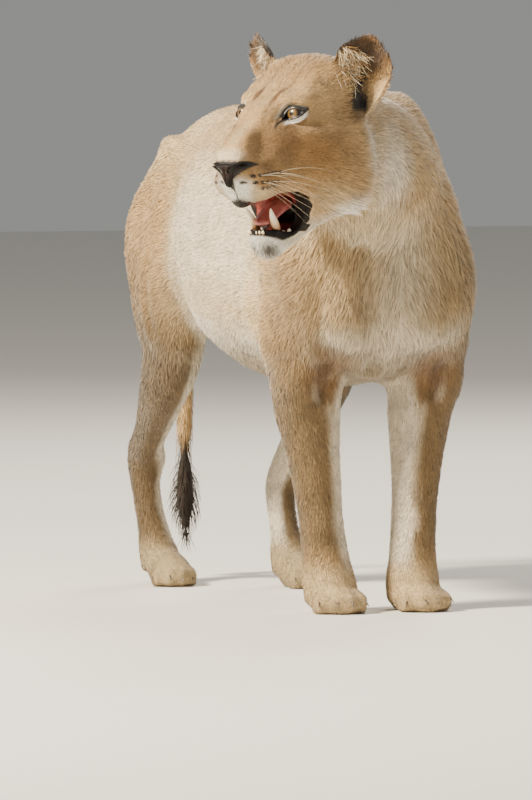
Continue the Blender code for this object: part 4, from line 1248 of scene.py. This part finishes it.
# %% Markings of the lips and the mouth
def mouth_marks(face):
    far = both_sides(face)
    f, s, u = far.T
    yield "black", lip_share(face)
    inside = inside_mouth(face)
    right_cheek = step(f, -0.066, -0.050) * step(u, -0.176, -0.164) * (face[:, 1] < -0.02)
    yield "black", inside
    yield "red", inside * step(u, -0.152, -0.138) * (1 - step(s, 0.026, 0.038))  # roof
    yield "red", 0.8 * inside * right_cheek
    yield "red", 0.6 * inside * step(-u, 0.176, 0.184) * (1 - step(s, 0.016, 0.026)) * (f < 0.005)
    below_nose = 1 - step(to_outline(far[:, 1:], UNDER_NOSE)[0], 0.0005, 0.0020)
    yield "black", below_nose * step(f, 0.066, 0.074)
    off_cleft = (u > -0.112) | (u < -0.160) | (f < 0.06)
    yield "black", 1 - step(s + FAR_OFF * off_cleft, 0.0010, 0.0024)
    yield "black", 2.2 * blob(far, (0.084, 0.000, -0.149), (0.034, 0.032, 0.020))


# %% Colour the skin
def coat_colour(points, normals):
    """The colour of hair or skin at each place: every mark laid over the ones before it."""
    face = on_head(points)
    colour = np.tile(COLOURS["sand"], (len(points), 1))
    for marks in (body_marks(points, normals, face), face_marks(face), eye_marks(face),
                  ear_marks(face, normals), mouth_marks(face)):
        for name, share in marks:
            colour = colour + np.clip(share, 0, 1)[:, None] * (COLOURS[name] - colour)
    return colour


def bare_share(points):
    """Where no fur grows: the openings of the eyes, the inside of the mouth and the lips."""
    face = on_head(points)
    _, edge, near = by_the_eye(face)
    bare = np.maximum(near * (1 - step(edge, 0.0010, 0.0016)), inside_mouth(face))
    return np.maximum(bare, lip_share(face))


points = read_points(skin.data)
skin_colours = np.ones((len(points), 4), np.float32)
skin_colours[:, :3] = coat_colour(points, read_normals(skin.data))
layer = skin.data.attributes.new("coat_colour", "FLOAT_COLOR", "POINT")
layer.data.foreach_set("color", skin_colours.ravel())
bare = bare_share(points)
corners = np.empty(len(skin.data.polygons) * 3, np.int32)
skin.data.polygons.foreach_get("vertices", corners)
triangles = corners.reshape(-1, 3)
bare_faces = bare[triangles].mean(axis=1) > 0.5
skin.data.polygons.foreach_set("material_index", bare_faces.astype(np.int32))
print("skin marked,", int(bare_faces.sum()), "bare faces")

# %% [markdown]
# ## The finish of the skin
# Under the tufts the skin is close-lying hair: the marked colour, broken by long fine noise,
# with a soft bump. Lips and mouth are bare skin, wet and softly folded.

# %% Skin finishes
skin_finish, tree, shader = new_finish("close_tan_hair", Roughness=0.82, Sheen_Weight=0.25,
                                       Sheen_Roughness=0.5)
skin_colour = add_node(tree, "ShaderNodeAttribute", attribute_name="coat_colour")
skin_where = add_node(tree, "ShaderNodeTexCoord")
skin_stretch = add_node(tree, "ShaderNodeMapping", {"Vector": skin_where.outputs["Object"]})
skin_stretch.inputs["Scale"].default_value = (1.0, 0.35, 0.6)
hairs = add_node(tree, "ShaderNodeTexNoise", {"Vector": skin_stretch.outputs[0]},
                 {"Scale": 620.0, "Detail": 4.0})
patches = add_node(tree, "ShaderNodeTexNoise", {"Vector": skin_where.outputs["Object"]},
                   {"Scale": 26.0, "Detail": 3.0})
hair_ramp = add_node(tree, "ShaderNodeMapRange", {"Value": hairs.outputs["Fac"]},
                     {"From Min": 0.25, "From Max": 0.75, "To Min": 0.72, "To Max": 1.12})
patch_ramp = add_node(tree, "ShaderNodeMapRange", {"Value": patches.outputs["Fac"]},
                      {"From Min": 0.3, "From Max": 0.7, "To Min": 0.90, "To Max": 1.06})
both = add_node(tree, "ShaderNodeMath", {0: hair_ramp.outputs[0], 1: patch_ramp.outputs[0]},
                operation="MULTIPLY")
skin_tone = add_node(tree, "ShaderNodeVectorMath",
                     {0: skin_colour.outputs["Color"], "Scale": both.outputs[0]}, operation="SCALE")
skin_bump = add_node(tree, "ShaderNodeBump", {"Height": hairs.outputs["Fac"]},
                     {"Strength": 0.5, "Distance": 0.0015})
tree.links.new(skin_tone.outputs[0], shader.inputs["Base Color"])
tree.links.new(skin_bump.outputs["Normal"], shader.inputs["Normal"])

lip_finish, tree, shader = new_finish("wet_lip_and_gum", Roughness=0.40, Specular_IOR_Level=0.14,
                                      Coat_Weight=0.06, Coat_Roughness=0.15)
lip_colour = add_node(tree, "ShaderNodeAttribute", attribute_name="coat_colour")
lip_where = add_node(tree, "ShaderNodeTexCoord")
lip_folds = add_node(tree, "ShaderNodeTexNoise", {"Vector": lip_where.outputs["Object"]},
                     {"Scale": 240.0, "Detail": 5.0})
lip_ramp = add_node(tree, "ShaderNodeMapRange", {"Value": lip_folds.outputs["Fac"]},
                    {"From Min": 0.3, "From Max": 0.7, "To Min": 0.6, "To Max": 1.5})
lip_tone = add_node(tree, "ShaderNodeVectorMath",
                    {0: lip_colour.outputs["Color"], "Scale": lip_ramp.outputs[0]}, operation="SCALE")
lip_bump = add_node(tree, "ShaderNodeBump", {"Height": lip_folds.outputs["Fac"]},
                    {"Strength": 0.6, "Distance": 0.0016})
tree.links.new(lip_tone.outputs[0], shader.inputs["Base Color"])
tree.links.new(lip_bump.outputs["Normal"], shader.inputs["Normal"])
skin.data.materials.append(skin_finish)
skin.data.materials.append(lip_finish)
skin.data.shade_smooth()
print("skin finishes", [finish.name for finish in skin.data.materials])

# %% [markdown]
# ## The coat
# A lioness has a short flat coat, so a tuft is one thin blade: three triangles that leave the
# skin at its root, lie along the body and end in a point. What makes a coat of blades is
# their lie, length and number, and all three follow from where on her a root is. The lie
# comes first: back along the trunk, down the legs and chest, and away from the nose.

# %% The lie of the coat
NOSE_TIP = np.array((0.112, 0.0, -0.090))
PAW_TOP = 0.105


def unit(vectors):
    """The same directions, each of length 1."""
    return vectors / np.maximum(np.linalg.norm(vectors, axis=1), 1e-9)[:, None]


LATTICE = 4096


def noise(points, size, seed):
    """Soft value noise between 0 and 1, from random numbers on a lattice."""
    lattice = np.random.default_rng(seed).random(LATTICE)
    cell = np.floor(points / size).astype(np.int64)
    t = points / size - cell
    t = t * t * (3 - 2 * t)
    total = np.zeros(len(points))
    for corner in range(8):
        bits = np.array(((corner >> 2) & 1, (corner >> 1) & 1, corner & 1))
        at = cell + bits
        key = (at[:, 0] * 73856093 ^ at[:, 1] * 19349663 ^ at[:, 2] * 83492791) % LATTICE
        total += lattice[key] * np.prod(np.where(bits, t, 1 - t), axis=1)
    return total


def lie_of_coat(points, normals):
    """The way hair points at each place, along the skin."""
    face = on_head(points)
    body = on_body(points)
    x, y, z = body.T
    side = np.sign(face[:, 1])
    away = unit(face - NOSE_TIP) + (-0.25, 0.0, 0.0)
    cheek = step(-face[:, 2], 0.02, 0.12)[:, None]
    away = away + cheek * np.array((-0.30, 0.0, -0.45))
    ears = ear_share(face)[:, None]
    up_ear = np.column_stack((np.full(len(face), -0.10), side * 0.36, np.ones(len(face))))
    head_way = (away * (1 - ears) + up_ear * ears) @ HEAD
    head = head_share(face)[:, None]
    neck = (step(-y, 0.20, 0.34) * step(z, 0.52, 0.68))[:, None]
    breast = (step(-y, 0.30, 0.42) * (1 - step(z, 0.62, 0.80)) * step(z, 0.34, 0.44))[:, None]
    legs = (1 - step(z, 0.36, 0.54))[:, None]
    haunch = (step(y, 0.20, 0.42) * (1 - step(z, 0.55, 0.82)))[:, None]
    paws = (1 - step(z, 0.03, PAW_TOP))[:, None]
    tail = step(y, 0.540, 0.570)[:, None]
    outward = np.column_stack((0.25 * np.sign(x), np.full(len(x), 0.10), np.full(len(x), -1.0)))
    way = np.tile((0.0, 1.0, -0.30), (len(points), 1))
    for share, new_way in ((haunch, (0.0, 0.45, -1.0)), (neck, (0.50, 0.62, -0.45)), (breast, outward),
                           (legs, (0.0, 0.22, -1.0)), (paws, (0.0, -0.8, -0.55)),
                           (tail, (0.0, 0.10, -1.0)), (head, head_way)):
        way = way + share * (np.asarray(new_way) - way)
    way = way - (way * normals).sum(axis=1)[:, None] * normals  # flat on the skin
    way = unit(way)
    sway = (noise(points, 0.080, 3) - 0.5) * 0.7 + (noise(points, 0.018, 4) - 0.5) * 0.45
    return way * np.cos(sway)[:, None] + np.cross(normals, way) * np.sin(sway)[:, None]


level_back = lie_of_coat(BODY[None] + (0.0, 0.0, 0.90), np.array([[0.0, 0.0, 1.0]]))[0]
print("on a level back the coat lies", [round(float(n), 2) for n in level_back])

# %% [markdown]
# Length, width and lift come from the same places. The face has the finest hair and the
# breast, throat, cheeks and tail the longest.

# %% Length, width and lift
def tuft_sizes(points):
    """Length and width of a tuft, and how high its tip stands, in metres."""
    face = on_head(points)
    far = both_sides(face)
    _, y, z = on_body(points).T
    length = np.full(len(points), 0.0125)
    width = np.full(len(points), 0.00115)
    lift = np.full(len(points), 0.0048)

    def grow(share, new_length, new_width, new_lift):
        nonlocal length, width, lift
        share = np.clip(share, 0, 1)
        length = length + share * (new_length - length)
        width = width + share * (new_width - width)
        lift = lift + share * (new_lift - lift)

    neck = step(-y, 0.20, 0.36) * step(z, 0.50, 0.60)
    breast = step(-y, 0.32, 0.42) * step(z, 0.38, 0.48) * (1 - step(z, 0.66, 0.78))
    belly = step(0.47 - z, 0.0, 0.07) * step(z, 0.33, 0.38) * step(y, -0.25, -0.15)
    tail = step(y, 0.545, 0.570)
    head = head_share(face)
    ruff = blob(far, (-0.105, 0.085, -0.135), (0.075, 0.080, 0.090))
    chin = blob(far, (0.020, 0.000, -0.235), (0.060, 0.060, 0.035))
    from_eye = np.linalg.norm(in_eye_frame(face)[:, :2], axis=1) + 0.1 * (face[:, 0] < -0.05)
    before_ear = blob(far, (-0.092, 0.074, 0.046), (0.030, 0.030, 0.036))
    grow(neck, 0.0170, 0.00130, 0.0065)
    grow(breast, 0.0240, 0.00135, 0.0085)
    grow(belly, 0.0200, 0.00130, 0.0080)
    grow(1 - step(z, 0.26, 0.42), 0.0090, 0.00100, 0.0034)  # legs
    grow(1 - step(z, 0.06, 0.11), 0.0070, 0.00090, 0.0024)  # paws
    grow(tail, 0.0140, 0.00120, 0.0045)
    grow(tail * (1 - step(z, 0.22, 0.28)), 0.0420, 0.00150, 0.0140)  # its dark end
    grow(head, 0.0105, 0.00120, 0.0045)
    grow(head * step(face[:, 0], -0.10, -0.03), 0.0062, 0.00085, 0.0026)  # from the eyes forward
    grow(head * step(face[:, 0], 0.00, 0.05), 0.0042, 0.00068, 0.0018)  # muzzle
    grow(2.0 * ruff, 0.0270, 0.00150, 0.0090)
    grow(1.6 * chin, 0.0150, 0.00110, 0.0060)
    grow(1 - step(from_eye, 0.018, 0.034), 0.0030, 0.00055, 0.0011)
    grow(ear_share(face), 0.0090, 0.00095, 0.0022)
    grow(1.4 * before_ear, 0.0190, 0.00120, 0.0085)
    return length, width, lift


lengths = tuft_sizes(points)[0]
print("tufts are", round(lengths.min() * 1000, 1), "to", round(lengths.max() * 1000, 1), "mm long")

# %% [markdown]
# Roots are scattered over the skin by area, closer where tufts are small, so that the blades
# cover it about one and a third times everywhere. None grow on the soles, on bare skin or on
# the skin under the nose. Each root lies at a random place in its triangle.

# %% Roots
COVER = 1.30
BLADE_FILL = 0.62  # of its length times its width
SOLE = 0.004

points = read_points(skin.data)
normals = read_normals(skin.data)
tri_points = points[triangles]
middles = tri_points.mean(axis=1)
first, second, third = tri_points.transpose(1, 0, 2)
areas = 0.5 * np.linalg.norm(np.cross(second - first, third - first), axis=1)
length, width, _ = tuft_sizes(middles)
wanted = areas * COVER / (BLADE_FILL * length * width) * (1 - step(bare_share(middles), 0.2, 0.6))
face = on_head(middles)
wanted[on_body(middles)[:, 2] < SOLE] = 0
wanted[(to_outline(both_sides(face)[:, 1:], UNDER_NOSE)[0] < 0) & (face[:, 0] > 0.075)] = 0
chances = np.cumsum(wanted)
count = int(chances[-1])
picks = np.searchsorted(chances, (np.arange(count) + draw.random(count)) * chances[-1] / count)
picks = np.minimum(picks, len(wanted) - 1)
a, b = np.sqrt(draw.random(count)), draw.random(count)
weights = np.stack((1 - a, a * (1 - b), a * b), 1)[:, :, None]
roots = (points[triangles[picks]] * weights).sum(axis=1)
root_normals = unit((normals[triangles[picks]] * weights).sum(axis=1))
print(count, "tufts on", round(float(areas.sum()), 2), "square metres of skin")

# %% [markdown]
# Each coat piece carries a second use of the skin's shape: a flat unwrap of it. A tuft's
# patch in its map is a small square at the place of its root, so a tuft keeps its own colour
# when the finishes are baked.

# %% A flat map of the skin
MAP_TRIANGLES = 7000
pick(skin)
bpy.ops.object.duplicate()
flat_skin = bpy.context.object
thin = flat_skin.modifiers.new("coarse", "DECIMATE")
thin.ratio = MAP_TRIANGLES / len(flat_skin.data.polygons)
bpy.ops.object.modifier_apply(modifier=thin.name)
bpy.ops.object.mode_set(mode="EDIT")
bpy.ops.mesh.select_all(action="SELECT")
bpy.ops.uv.smart_project(angle_limit=math.radians(66), island_margin=0.004)
bpy.ops.object.mode_set(mode="OBJECT")
flat_points = read_points(flat_skin.data)
flat_corners = np.array([tuple(p.vertices) for p in flat_skin.data.polygons if len(p.vertices) == 3])
flat_map = np.empty(len(flat_skin.data.loops) * 2, np.float32)
flat_skin.data.uv_layers.active.data.foreach_get("uv", flat_map)
flat_map = flat_map.reshape(-1, 3, 2)
flat_tree = BVHTree.FromPolygons(flat_points.tolist(), flat_corners.tolist())
bpy.data.objects.remove(flat_skin)


def map_places(places):
    """Where each place lies on the flat map of the skin."""
    found = np.empty((len(places), 2))
    for i, place in enumerate(places):
        hit, _, index, _ = flat_tree.find_nearest(place)
        p, q, r = flat_points[flat_corners[index]]
        s, t, w = q - p, r - p, np.array(hit) - p
        ss, tt, st, ws, wt = s @ s, t @ t, s @ t, w @ s, w @ t
        area = ss * tt - st * st + 1e-20  # never 0
        b, c = (tt * ws - st * wt) / area, (ss * wt - st * ws) / area
        found[i] = (1 - b - c) * flat_map[index, 0] + b * flat_map[index, 1] + c * flat_map[index, 2]
    return found


print("map of", len(flat_corners), "triangles")

# %% Build one piece of coat
PATCH = 0.003  # how big a tuft's square is in the map
FLOOR = 0.0004  # no hair sinks under this height
BLADE_FACES = np.array(((0, 3, 1), (0, 2, 3), (2, 4, 3)))
BLADE_MAP = np.array(((-0.4, -0.5), (0.4, -0.5), (-0.4, 0.1), (0.4, 0.1), (0.0, 0.5))) * PATCH
coat_pieces = []


def make_mesh(name, verts, faces):
    """An object from an array of places and one of triangles, built without a loop."""
    mesh = bpy.data.meshes.new(name)
    mesh.vertices.add(len(verts))
    mesh.vertices.foreach_set("co", verts.astype(np.float32).ravel())
    mesh.loops.add(faces.size)
    mesh.loops.foreach_set("vertex_index", faces.astype(np.int32).ravel())
    mesh.polygons.add(len(faces))
    mesh.polygons.foreach_set("loop_start", np.arange(0, faces.size, 3, dtype=np.int32))
    mesh.update(calc_edges=True)
    made = bpy.data.objects.new(name, mesh)
    bpy.context.scene.collection.objects.link(made)
    return made


def make_coat(name, roots, out, way, length, width, lift, colours, finish, curl=0.25):
    """Blades from these roots as one piece, with colours, strand places, normals and map."""
    count = len(roots)
    across = np.cross(out, way)
    tilt = draw.normal(0, 0.45, count)[:, None]
    across = across * np.cos(tilt) + out * np.sin(tilt)
    length = (length * draw.uniform(0.70, 1.25, count))[:, None]
    lift = (lift * draw.uniform(0.55, 1.15, count))[:, None]
    half = (width * draw.uniform(0.75, 1.25, count))[:, None] / 2
    bend = across * (draw.normal(0, curl, count)[:, None] * length * 0.25)
    root = roots - out * 0.0006
    middle_point = root + way * length * 0.45 + out * lift * 0.74 + bend * 0.3
    tip = root + way * length + out * lift * 0.95 + bend
    waist = across * half * 0.85
    verts = np.stack((root - across * half, root + across * half, middle_point - waist,
                      middle_point + waist, tip), 1)
    verts[:, :, 2] = np.maximum(verts[:, :, 2], FLOOR)
    faces = (np.arange(count)[:, None, None] * 5 + BLADE_FACES).reshape(-1, 3)
    piece = make_mesh(name, verts.reshape(-1, 3), faces)
    own_tone = draw.random(count)
    full = np.ones((count, 5, 4), np.float32)
    full[:, :, :3] = colours[:, None, :]
    layer = piece.data.attributes.new("coat_colour", "FLOAT_COLOR", "POINT")
    layer.data.foreach_set("color", full.ravel())
    strand = np.zeros((count, 5, 3), np.float32)
    strand[:, :, 0] = (0.0, 0.0, 0.5, 0.5, 1.0)  # from root to tip
    strand[:, :, 1] = own_tone[:, None]
    layer = piece.data.attributes.new("strand", "FLOAT_VECTOR", "POINT")
    layer.data.foreach_set("vector", strand.ravel())
    flat = np.repeat(map_places(roots)[:, None, :], 5, axis=1) + BLADE_MAP
    layer = piece.data.uv_layers.new(name="OFBake")
    layer.data.foreach_set("uv", flat.reshape(-1, 2)[faces.ravel()].astype(np.float32).ravel())
    piece.data.materials.append(finish)
    piece.data.polygons.foreach_set("use_smooth", np.ones(len(faces), bool))
    face_out = unit(np.cross(way, across))
    face_out *= np.sign((face_out * out).sum(axis=1))[:, None]
    shade = unit(out * 0.80 + face_out * 0.28 + way * draw.normal(0.10, 0.14, count)[:, None]
                 + across * draw.normal(0, 0.14, count)[:, None])
    piece.data.normals_split_custom_set_from_vertices(np.repeat(shade, 5, axis=0))
    coat_pieces.append(piece)
    print(name, len(faces), "triangles")


# %% [markdown]
# Fur is dull, with a soft sheen where light grazes it. A tuft is darker at its root, each one
# has a tone of its own, and fine and broad noise break up the rest.

# %% Coat finish
coat_finish, tree, shader = new_finish("short_tan_fur", Roughness=0.78, Sheen_Weight=0.30,
                                       Sheen_Roughness=0.45)
coat_tone = add_node(tree, "ShaderNodeAttribute", attribute_name="coat_colour")
coat_strand = add_node(tree, "ShaderNodeAttribute", attribute_name="strand")
coat_parts = add_node(tree, "ShaderNodeSeparateXYZ", {"Vector": coat_strand.outputs["Vector"]})
along_ramp = add_node(tree, "ShaderNodeMapRange", {"Value": coat_parts.outputs["X"]},
                      {"To Min": 0.76, "To Max": 1.12})
own_ramp = add_node(tree, "ShaderNodeMapRange", {"Value": coat_parts.outputs["Y"]},
                    {"To Min": 0.70, "To Max": 1.18})
coat_where = add_node(tree, "ShaderNodeTexCoord")
coat_fine = add_node(tree, "ShaderNodeTexNoise", {"Vector": coat_where.outputs["Object"]},
                     {"Scale": 520.0, "Detail": 2.0})
fine_ramp = add_node(tree, "ShaderNodeMapRange", {"Value": coat_fine.outputs["Fac"]},
                     {"From Min": 0.3, "From Max": 0.7, "To Min": 0.86, "To Max": 1.08})
coat_mottle = add_node(tree, "ShaderNodeTexNoise", {"Vector": coat_where.outputs["Object"]},
                       {"Scale": 34.0, "Detail": 4.0})
mottle_ramp = add_node(tree, "ShaderNodeMapRange", {"Value": coat_mottle.outputs["Fac"]},
                       {"From Min": 0.3, "From Max": 0.7, "To Min": 0.82, "To Max": 1.12})
coat_factor = along_ramp
for ramp in (own_ramp, fine_ramp, mottle_ramp):
    coat_factor = add_node(tree, "ShaderNodeMath", {0: coat_factor.outputs[0], 1: ramp.outputs[0]},
                           operation="MULTIPLY")
coat_scaled = add_node(tree, "ShaderNodeVectorMath",
                       {0: coat_tone.outputs["Color"], "Scale": coat_factor.outputs[0]},
                       operation="SCALE")
tree.links.new(coat_scaled.outputs[0], shader.inputs["Base Color"])

# %% [markdown]
# The coat is parted into pieces by where a root is, which keeps every piece light enough to
# handle. One tuft in ten is darker than the rest, as a real coat is ticked.

# %% Grow the coat
TICKED = 0.10
length, width, lift = tuft_sizes(roots)
ways = lie_of_coat(roots, root_normals)
colours = coat_colour(roots, root_normals)
mottle = noise(roots, 0.012, 8)[:, None] * 0.20 + noise(roots, 0.045, 9)[:, None] * 0.12
colours = colours * (0.84 + mottle)
ticked = draw.random(count) < TICKED
colours[ticked] *= 0.62
face = on_head(roots)
body = on_body(roots)
is_head = (head_share(face) > 0.5) | (ear_share(face) > 0.3)
is_leg = (~is_head) & (body[:, 2] < 0.44) & ((body[:, 1] < -0.14) | (body[:, 1] > 0.10))
is_tail = (~is_head) & (body[:, 1] > 0.552)
left_side = np.where(is_head, face[:, 1] > 0, body[:, 0] > 0)
region = np.select([is_head & (face[:, 0] > 0.0), is_head, is_tail, is_leg & (body[:, 1] < 0), is_leg,
                    body[:, 1] < -0.28, body[:, 1] < 0.02], [0, 1, 2, 3, 4, 5, 6], 7)
REGIONS = ("muzzle", "head", "tail", "foreleg", "hindleg", "neck", "shoulder", "haunch")
for number, name in enumerate(REGIONS):
    here = region == number
    halves = {"": here} if name == "tail" else {"_left": here & left_side, "_right": here & ~left_side}
    for ending, chosen in halves.items():
        make_coat("coat_" + name + ending, roots[chosen], root_normals[chosen], ways[chosen],
                  length[chosen], width[chosen], lift[chosen], colours[chosen], coat_finish)

# %% [markdown]
# The cup of each ear is crossed by long hairs, pale and brown, that grow from its front edge.

# %% Long hair of the ears
face = on_head(roots)
tall, wide, _ = ear_place(face)
front_edge = ((ear_share(face) > 0.5) & between(tall, 0.20, 0.80) & between(wide, -0.95, -0.10)
              & (front_facing(face, root_normals) > 0.2))
EAR_TONES = {"cream": 0.22, "straw": 0.28, "tawny": 0.32, "umber": 0.18}  # the share of each
tones = np.array([COLOURS[tone_name] for tone_name in EAR_TONES])
for side_name, side in SIDES.items():
    chosen = np.flatnonzero(front_edge & (np.sign(face[:, 1]) == side))
    chosen = chosen[draw.random(len(chosen)) < 0.60]
    turned = np.array((1, side, 1))
    across, lean, facing = [(axis * turned) @ HEAD for axis in (EAR_ACROSS, EAR_LEAN, EAR_FACING)]
    sweep = draw.normal(-0.55, 0.40, len(chosen))[:, None]
    way = unit(0.62 * across + sweep * lean + 0.24 * facing)
    out = unit(np.tile(facing, (len(chosen), 1)) - (way @ facing)[:, None] * way)
    tone = tones[draw.choice(len(tones), len(chosen), p=tuple(EAR_TONES.values()))]
    make_coat("coat_ear_" + side_name, roots[chosen], out, way, draw.uniform(0.016, 0.032, len(chosen)),
              np.full(len(chosen), 0.00070), np.full(len(chosen), 0.0065), tone, coat_finish, curl=1.5)

# %% [markdown]
# ## Whiskers and claws
# A whisker leaves each dark spot of the lip, stiff at first and then bending back and down.
# A claw is a short curved cone at the tip of each toe, half hidden in the hair.

# %% Whiskers
WHISKER_RADIUS = 0.00022


def taper_tube(path, radii, sides=5):
    """Rings of points along a path, for a thin tapering tube."""
    rings = []
    for i, place in enumerate(path):
        along = path[min(i + 1, len(path) - 1)] - path[max(i - 1, 0)]
        across, rise, _ = axes_along(along / np.linalg.norm(along))
        rings.append(ring_round(place, across, rise, radii[i], radii[i], sides))
    return rings


def join_named(pieces, name):
    """Joins the pieces into the first one, and names it."""
    deselect_all()
    for piece in pieces:
        piece.select_set(True)
    bpy.context.view_layer.objects.active = pieces[0]
    bpy.ops.object.join()
    pieces[0].name = name
    pieces[0].data.name = name
    return pieces[0]


def make_whiskers(side_name, side):
    hairs_made = []
    for i, (ahead, height) in enumerate(WHISKER_SPOTS):
        start = Vector(from_head((ahead, side * 0.20, height)))
        hit = skin_tree.ray_cast(start, Vector(HEAD[1] * -side), 0.30)[0]
        if hit is None:
            continue
        root = on_head(np.array(hit))
        back_share = step(np.array([0.095 - ahead]), 0.0, 0.045)[0]  # those farther back are longer
        long = 0.035 + 0.070 * back_share * draw.uniform(0.55, 1.30)
        fan = 12.0 * (height + 0.106) - 0.12
        aim = np.array((-0.62 + draw.normal(0, 0.14), side * 0.70, fan + draw.normal(0, 0.14)))
        aim /= np.linalg.norm(aim)
        sag = np.array((-0.18, -0.12 * side, -0.26 + draw.normal(0, 0.12)))
        t = np.linspace(0, 1, 9)[:, None]
        path = from_head(root - aim * 0.003 + long * (t * aim + t * t * sag))
        radii = WHISKER_RADIUS * (1 - 0.75 * t[:, 0])
        hairs_made.append(add_tube("whisker_%s_%d" % (side_name, i), taper_tube(path, radii), caps=True))
    made = join_named(hairs_made, "whiskers_" + side_name)
    made.data.materials.append(whisker_finish)
    return made


whisker_finish, _, shader = new_finish("stiff_pale_whisker", Roughness=0.45)
shader.inputs["Base Color"].default_value = linear("DDD0B4")
whiskers = [make_whiskers(side_name, side) for side_name, side in SIDES.items()]
print("whiskers", [len(piece.data.polygons) for piece in whiskers])

# %% Claws
CLAW_LONG = 0.011
CLAW_RADIUS = 0.0026
PAW_TURNS = {"forepaw_left": 4.0, "forepaw_right": -4.0, "hindpaw_left": 6.0, "hindpaw_right": -6.0}
TOE_TURNS = (-33, -12, 12, 33)  # degrees from straight ahead
claw_finish, tree, shader = new_finish("smoky_horn_claw", Roughness=0.35, Coat_Weight=0.2, Coat_Roughness=0.2)
claw_place = add_node(tree, "ShaderNodeTexCoord")
claw_grain = add_node(tree, "ShaderNodeTexNoise", {"Vector": claw_place.outputs["Object"]}, {"Scale": 300.0})
claw_tone = add_node(tree, "ShaderNodeMix", {"Factor": claw_grain.outputs["Fac"]},
                     {MIX_A: linear("2E2620"), MIX_B: linear("6B5C4C")}, data_type="RGBA")
tree.links.new(claw_tone.outputs[MIX_RESULT], shader.inputs["Base Color"])
skin_points = read_points(skin.data)


def make_claws(paw, degrees):
    """Four claws: each at the foremost point of the skin in the direction of its toe."""
    low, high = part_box(paw)
    centre = np.array((low + high) / 2) + (0, 0.012, 0)
    away = np.abs(skin_points - centre)
    heights = on_body(skin_points)[:, 2]
    near = skin_points[(away[:, 0] < 0.075) & (away[:, 1] < 0.12) & between(heights, 0.008, 0.026)]
    angles = np.arctan2(near[:, 0] - centre[0], -(near[:, 1] - centre[1]))
    reach = np.hypot(near[:, 0] - centre[0], near[:, 1] - centre[1])
    made = []
    for toe_turn in TOE_TURNS:
        aim = math.radians(degrees + toe_turn)
        toe = near[np.argmax(np.where(np.abs(angles - aim) < math.radians(9), reach, -1))]
        ahead = unit((toe - centre)[None] * (1, 1, 0))[0]
        t = np.linspace(0, 1, 6)[:, None]
        path = toe - ahead * 0.004 + (0, 0, 0.004) + CLAW_LONG * (t * ahead + t * t * np.array((0, 0, -0.75)))
        radii = CLAW_RADIUS * (1 - 0.86 * t[:, 0])
        made.append(add_tube("claw", taper_tube(path, radii, 8), caps=True))
    made = join_named(made, "claws_" + paw)
    made.data.materials.append(claw_finish)
    return made


claws = [make_claws(paw, degrees) for paw, degrees in PAW_TURNS.items()]
print("claws", [len(piece.data.polygons) for piece in claws])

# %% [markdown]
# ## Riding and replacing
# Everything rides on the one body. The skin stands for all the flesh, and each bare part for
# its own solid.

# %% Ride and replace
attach(skin, "root")
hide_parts(*flesh)
for piece in coat_pieces:
    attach(piece, "root")
for piece in whiskers:
    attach(piece, "root")
for piece in claws:
    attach(piece, "root")
for name in SIDES:
    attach(eyeballs[name], "root")
    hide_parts("eye_" + name)
    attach(rims[name], "root")
    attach(canines[name], "root")
    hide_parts("canine_lower_" + name)
for tooth in small_teeth:
    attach(tooth, "root")
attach(nose, "root")
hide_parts("nose_leather")
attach(tongue, "root")
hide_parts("tongue")
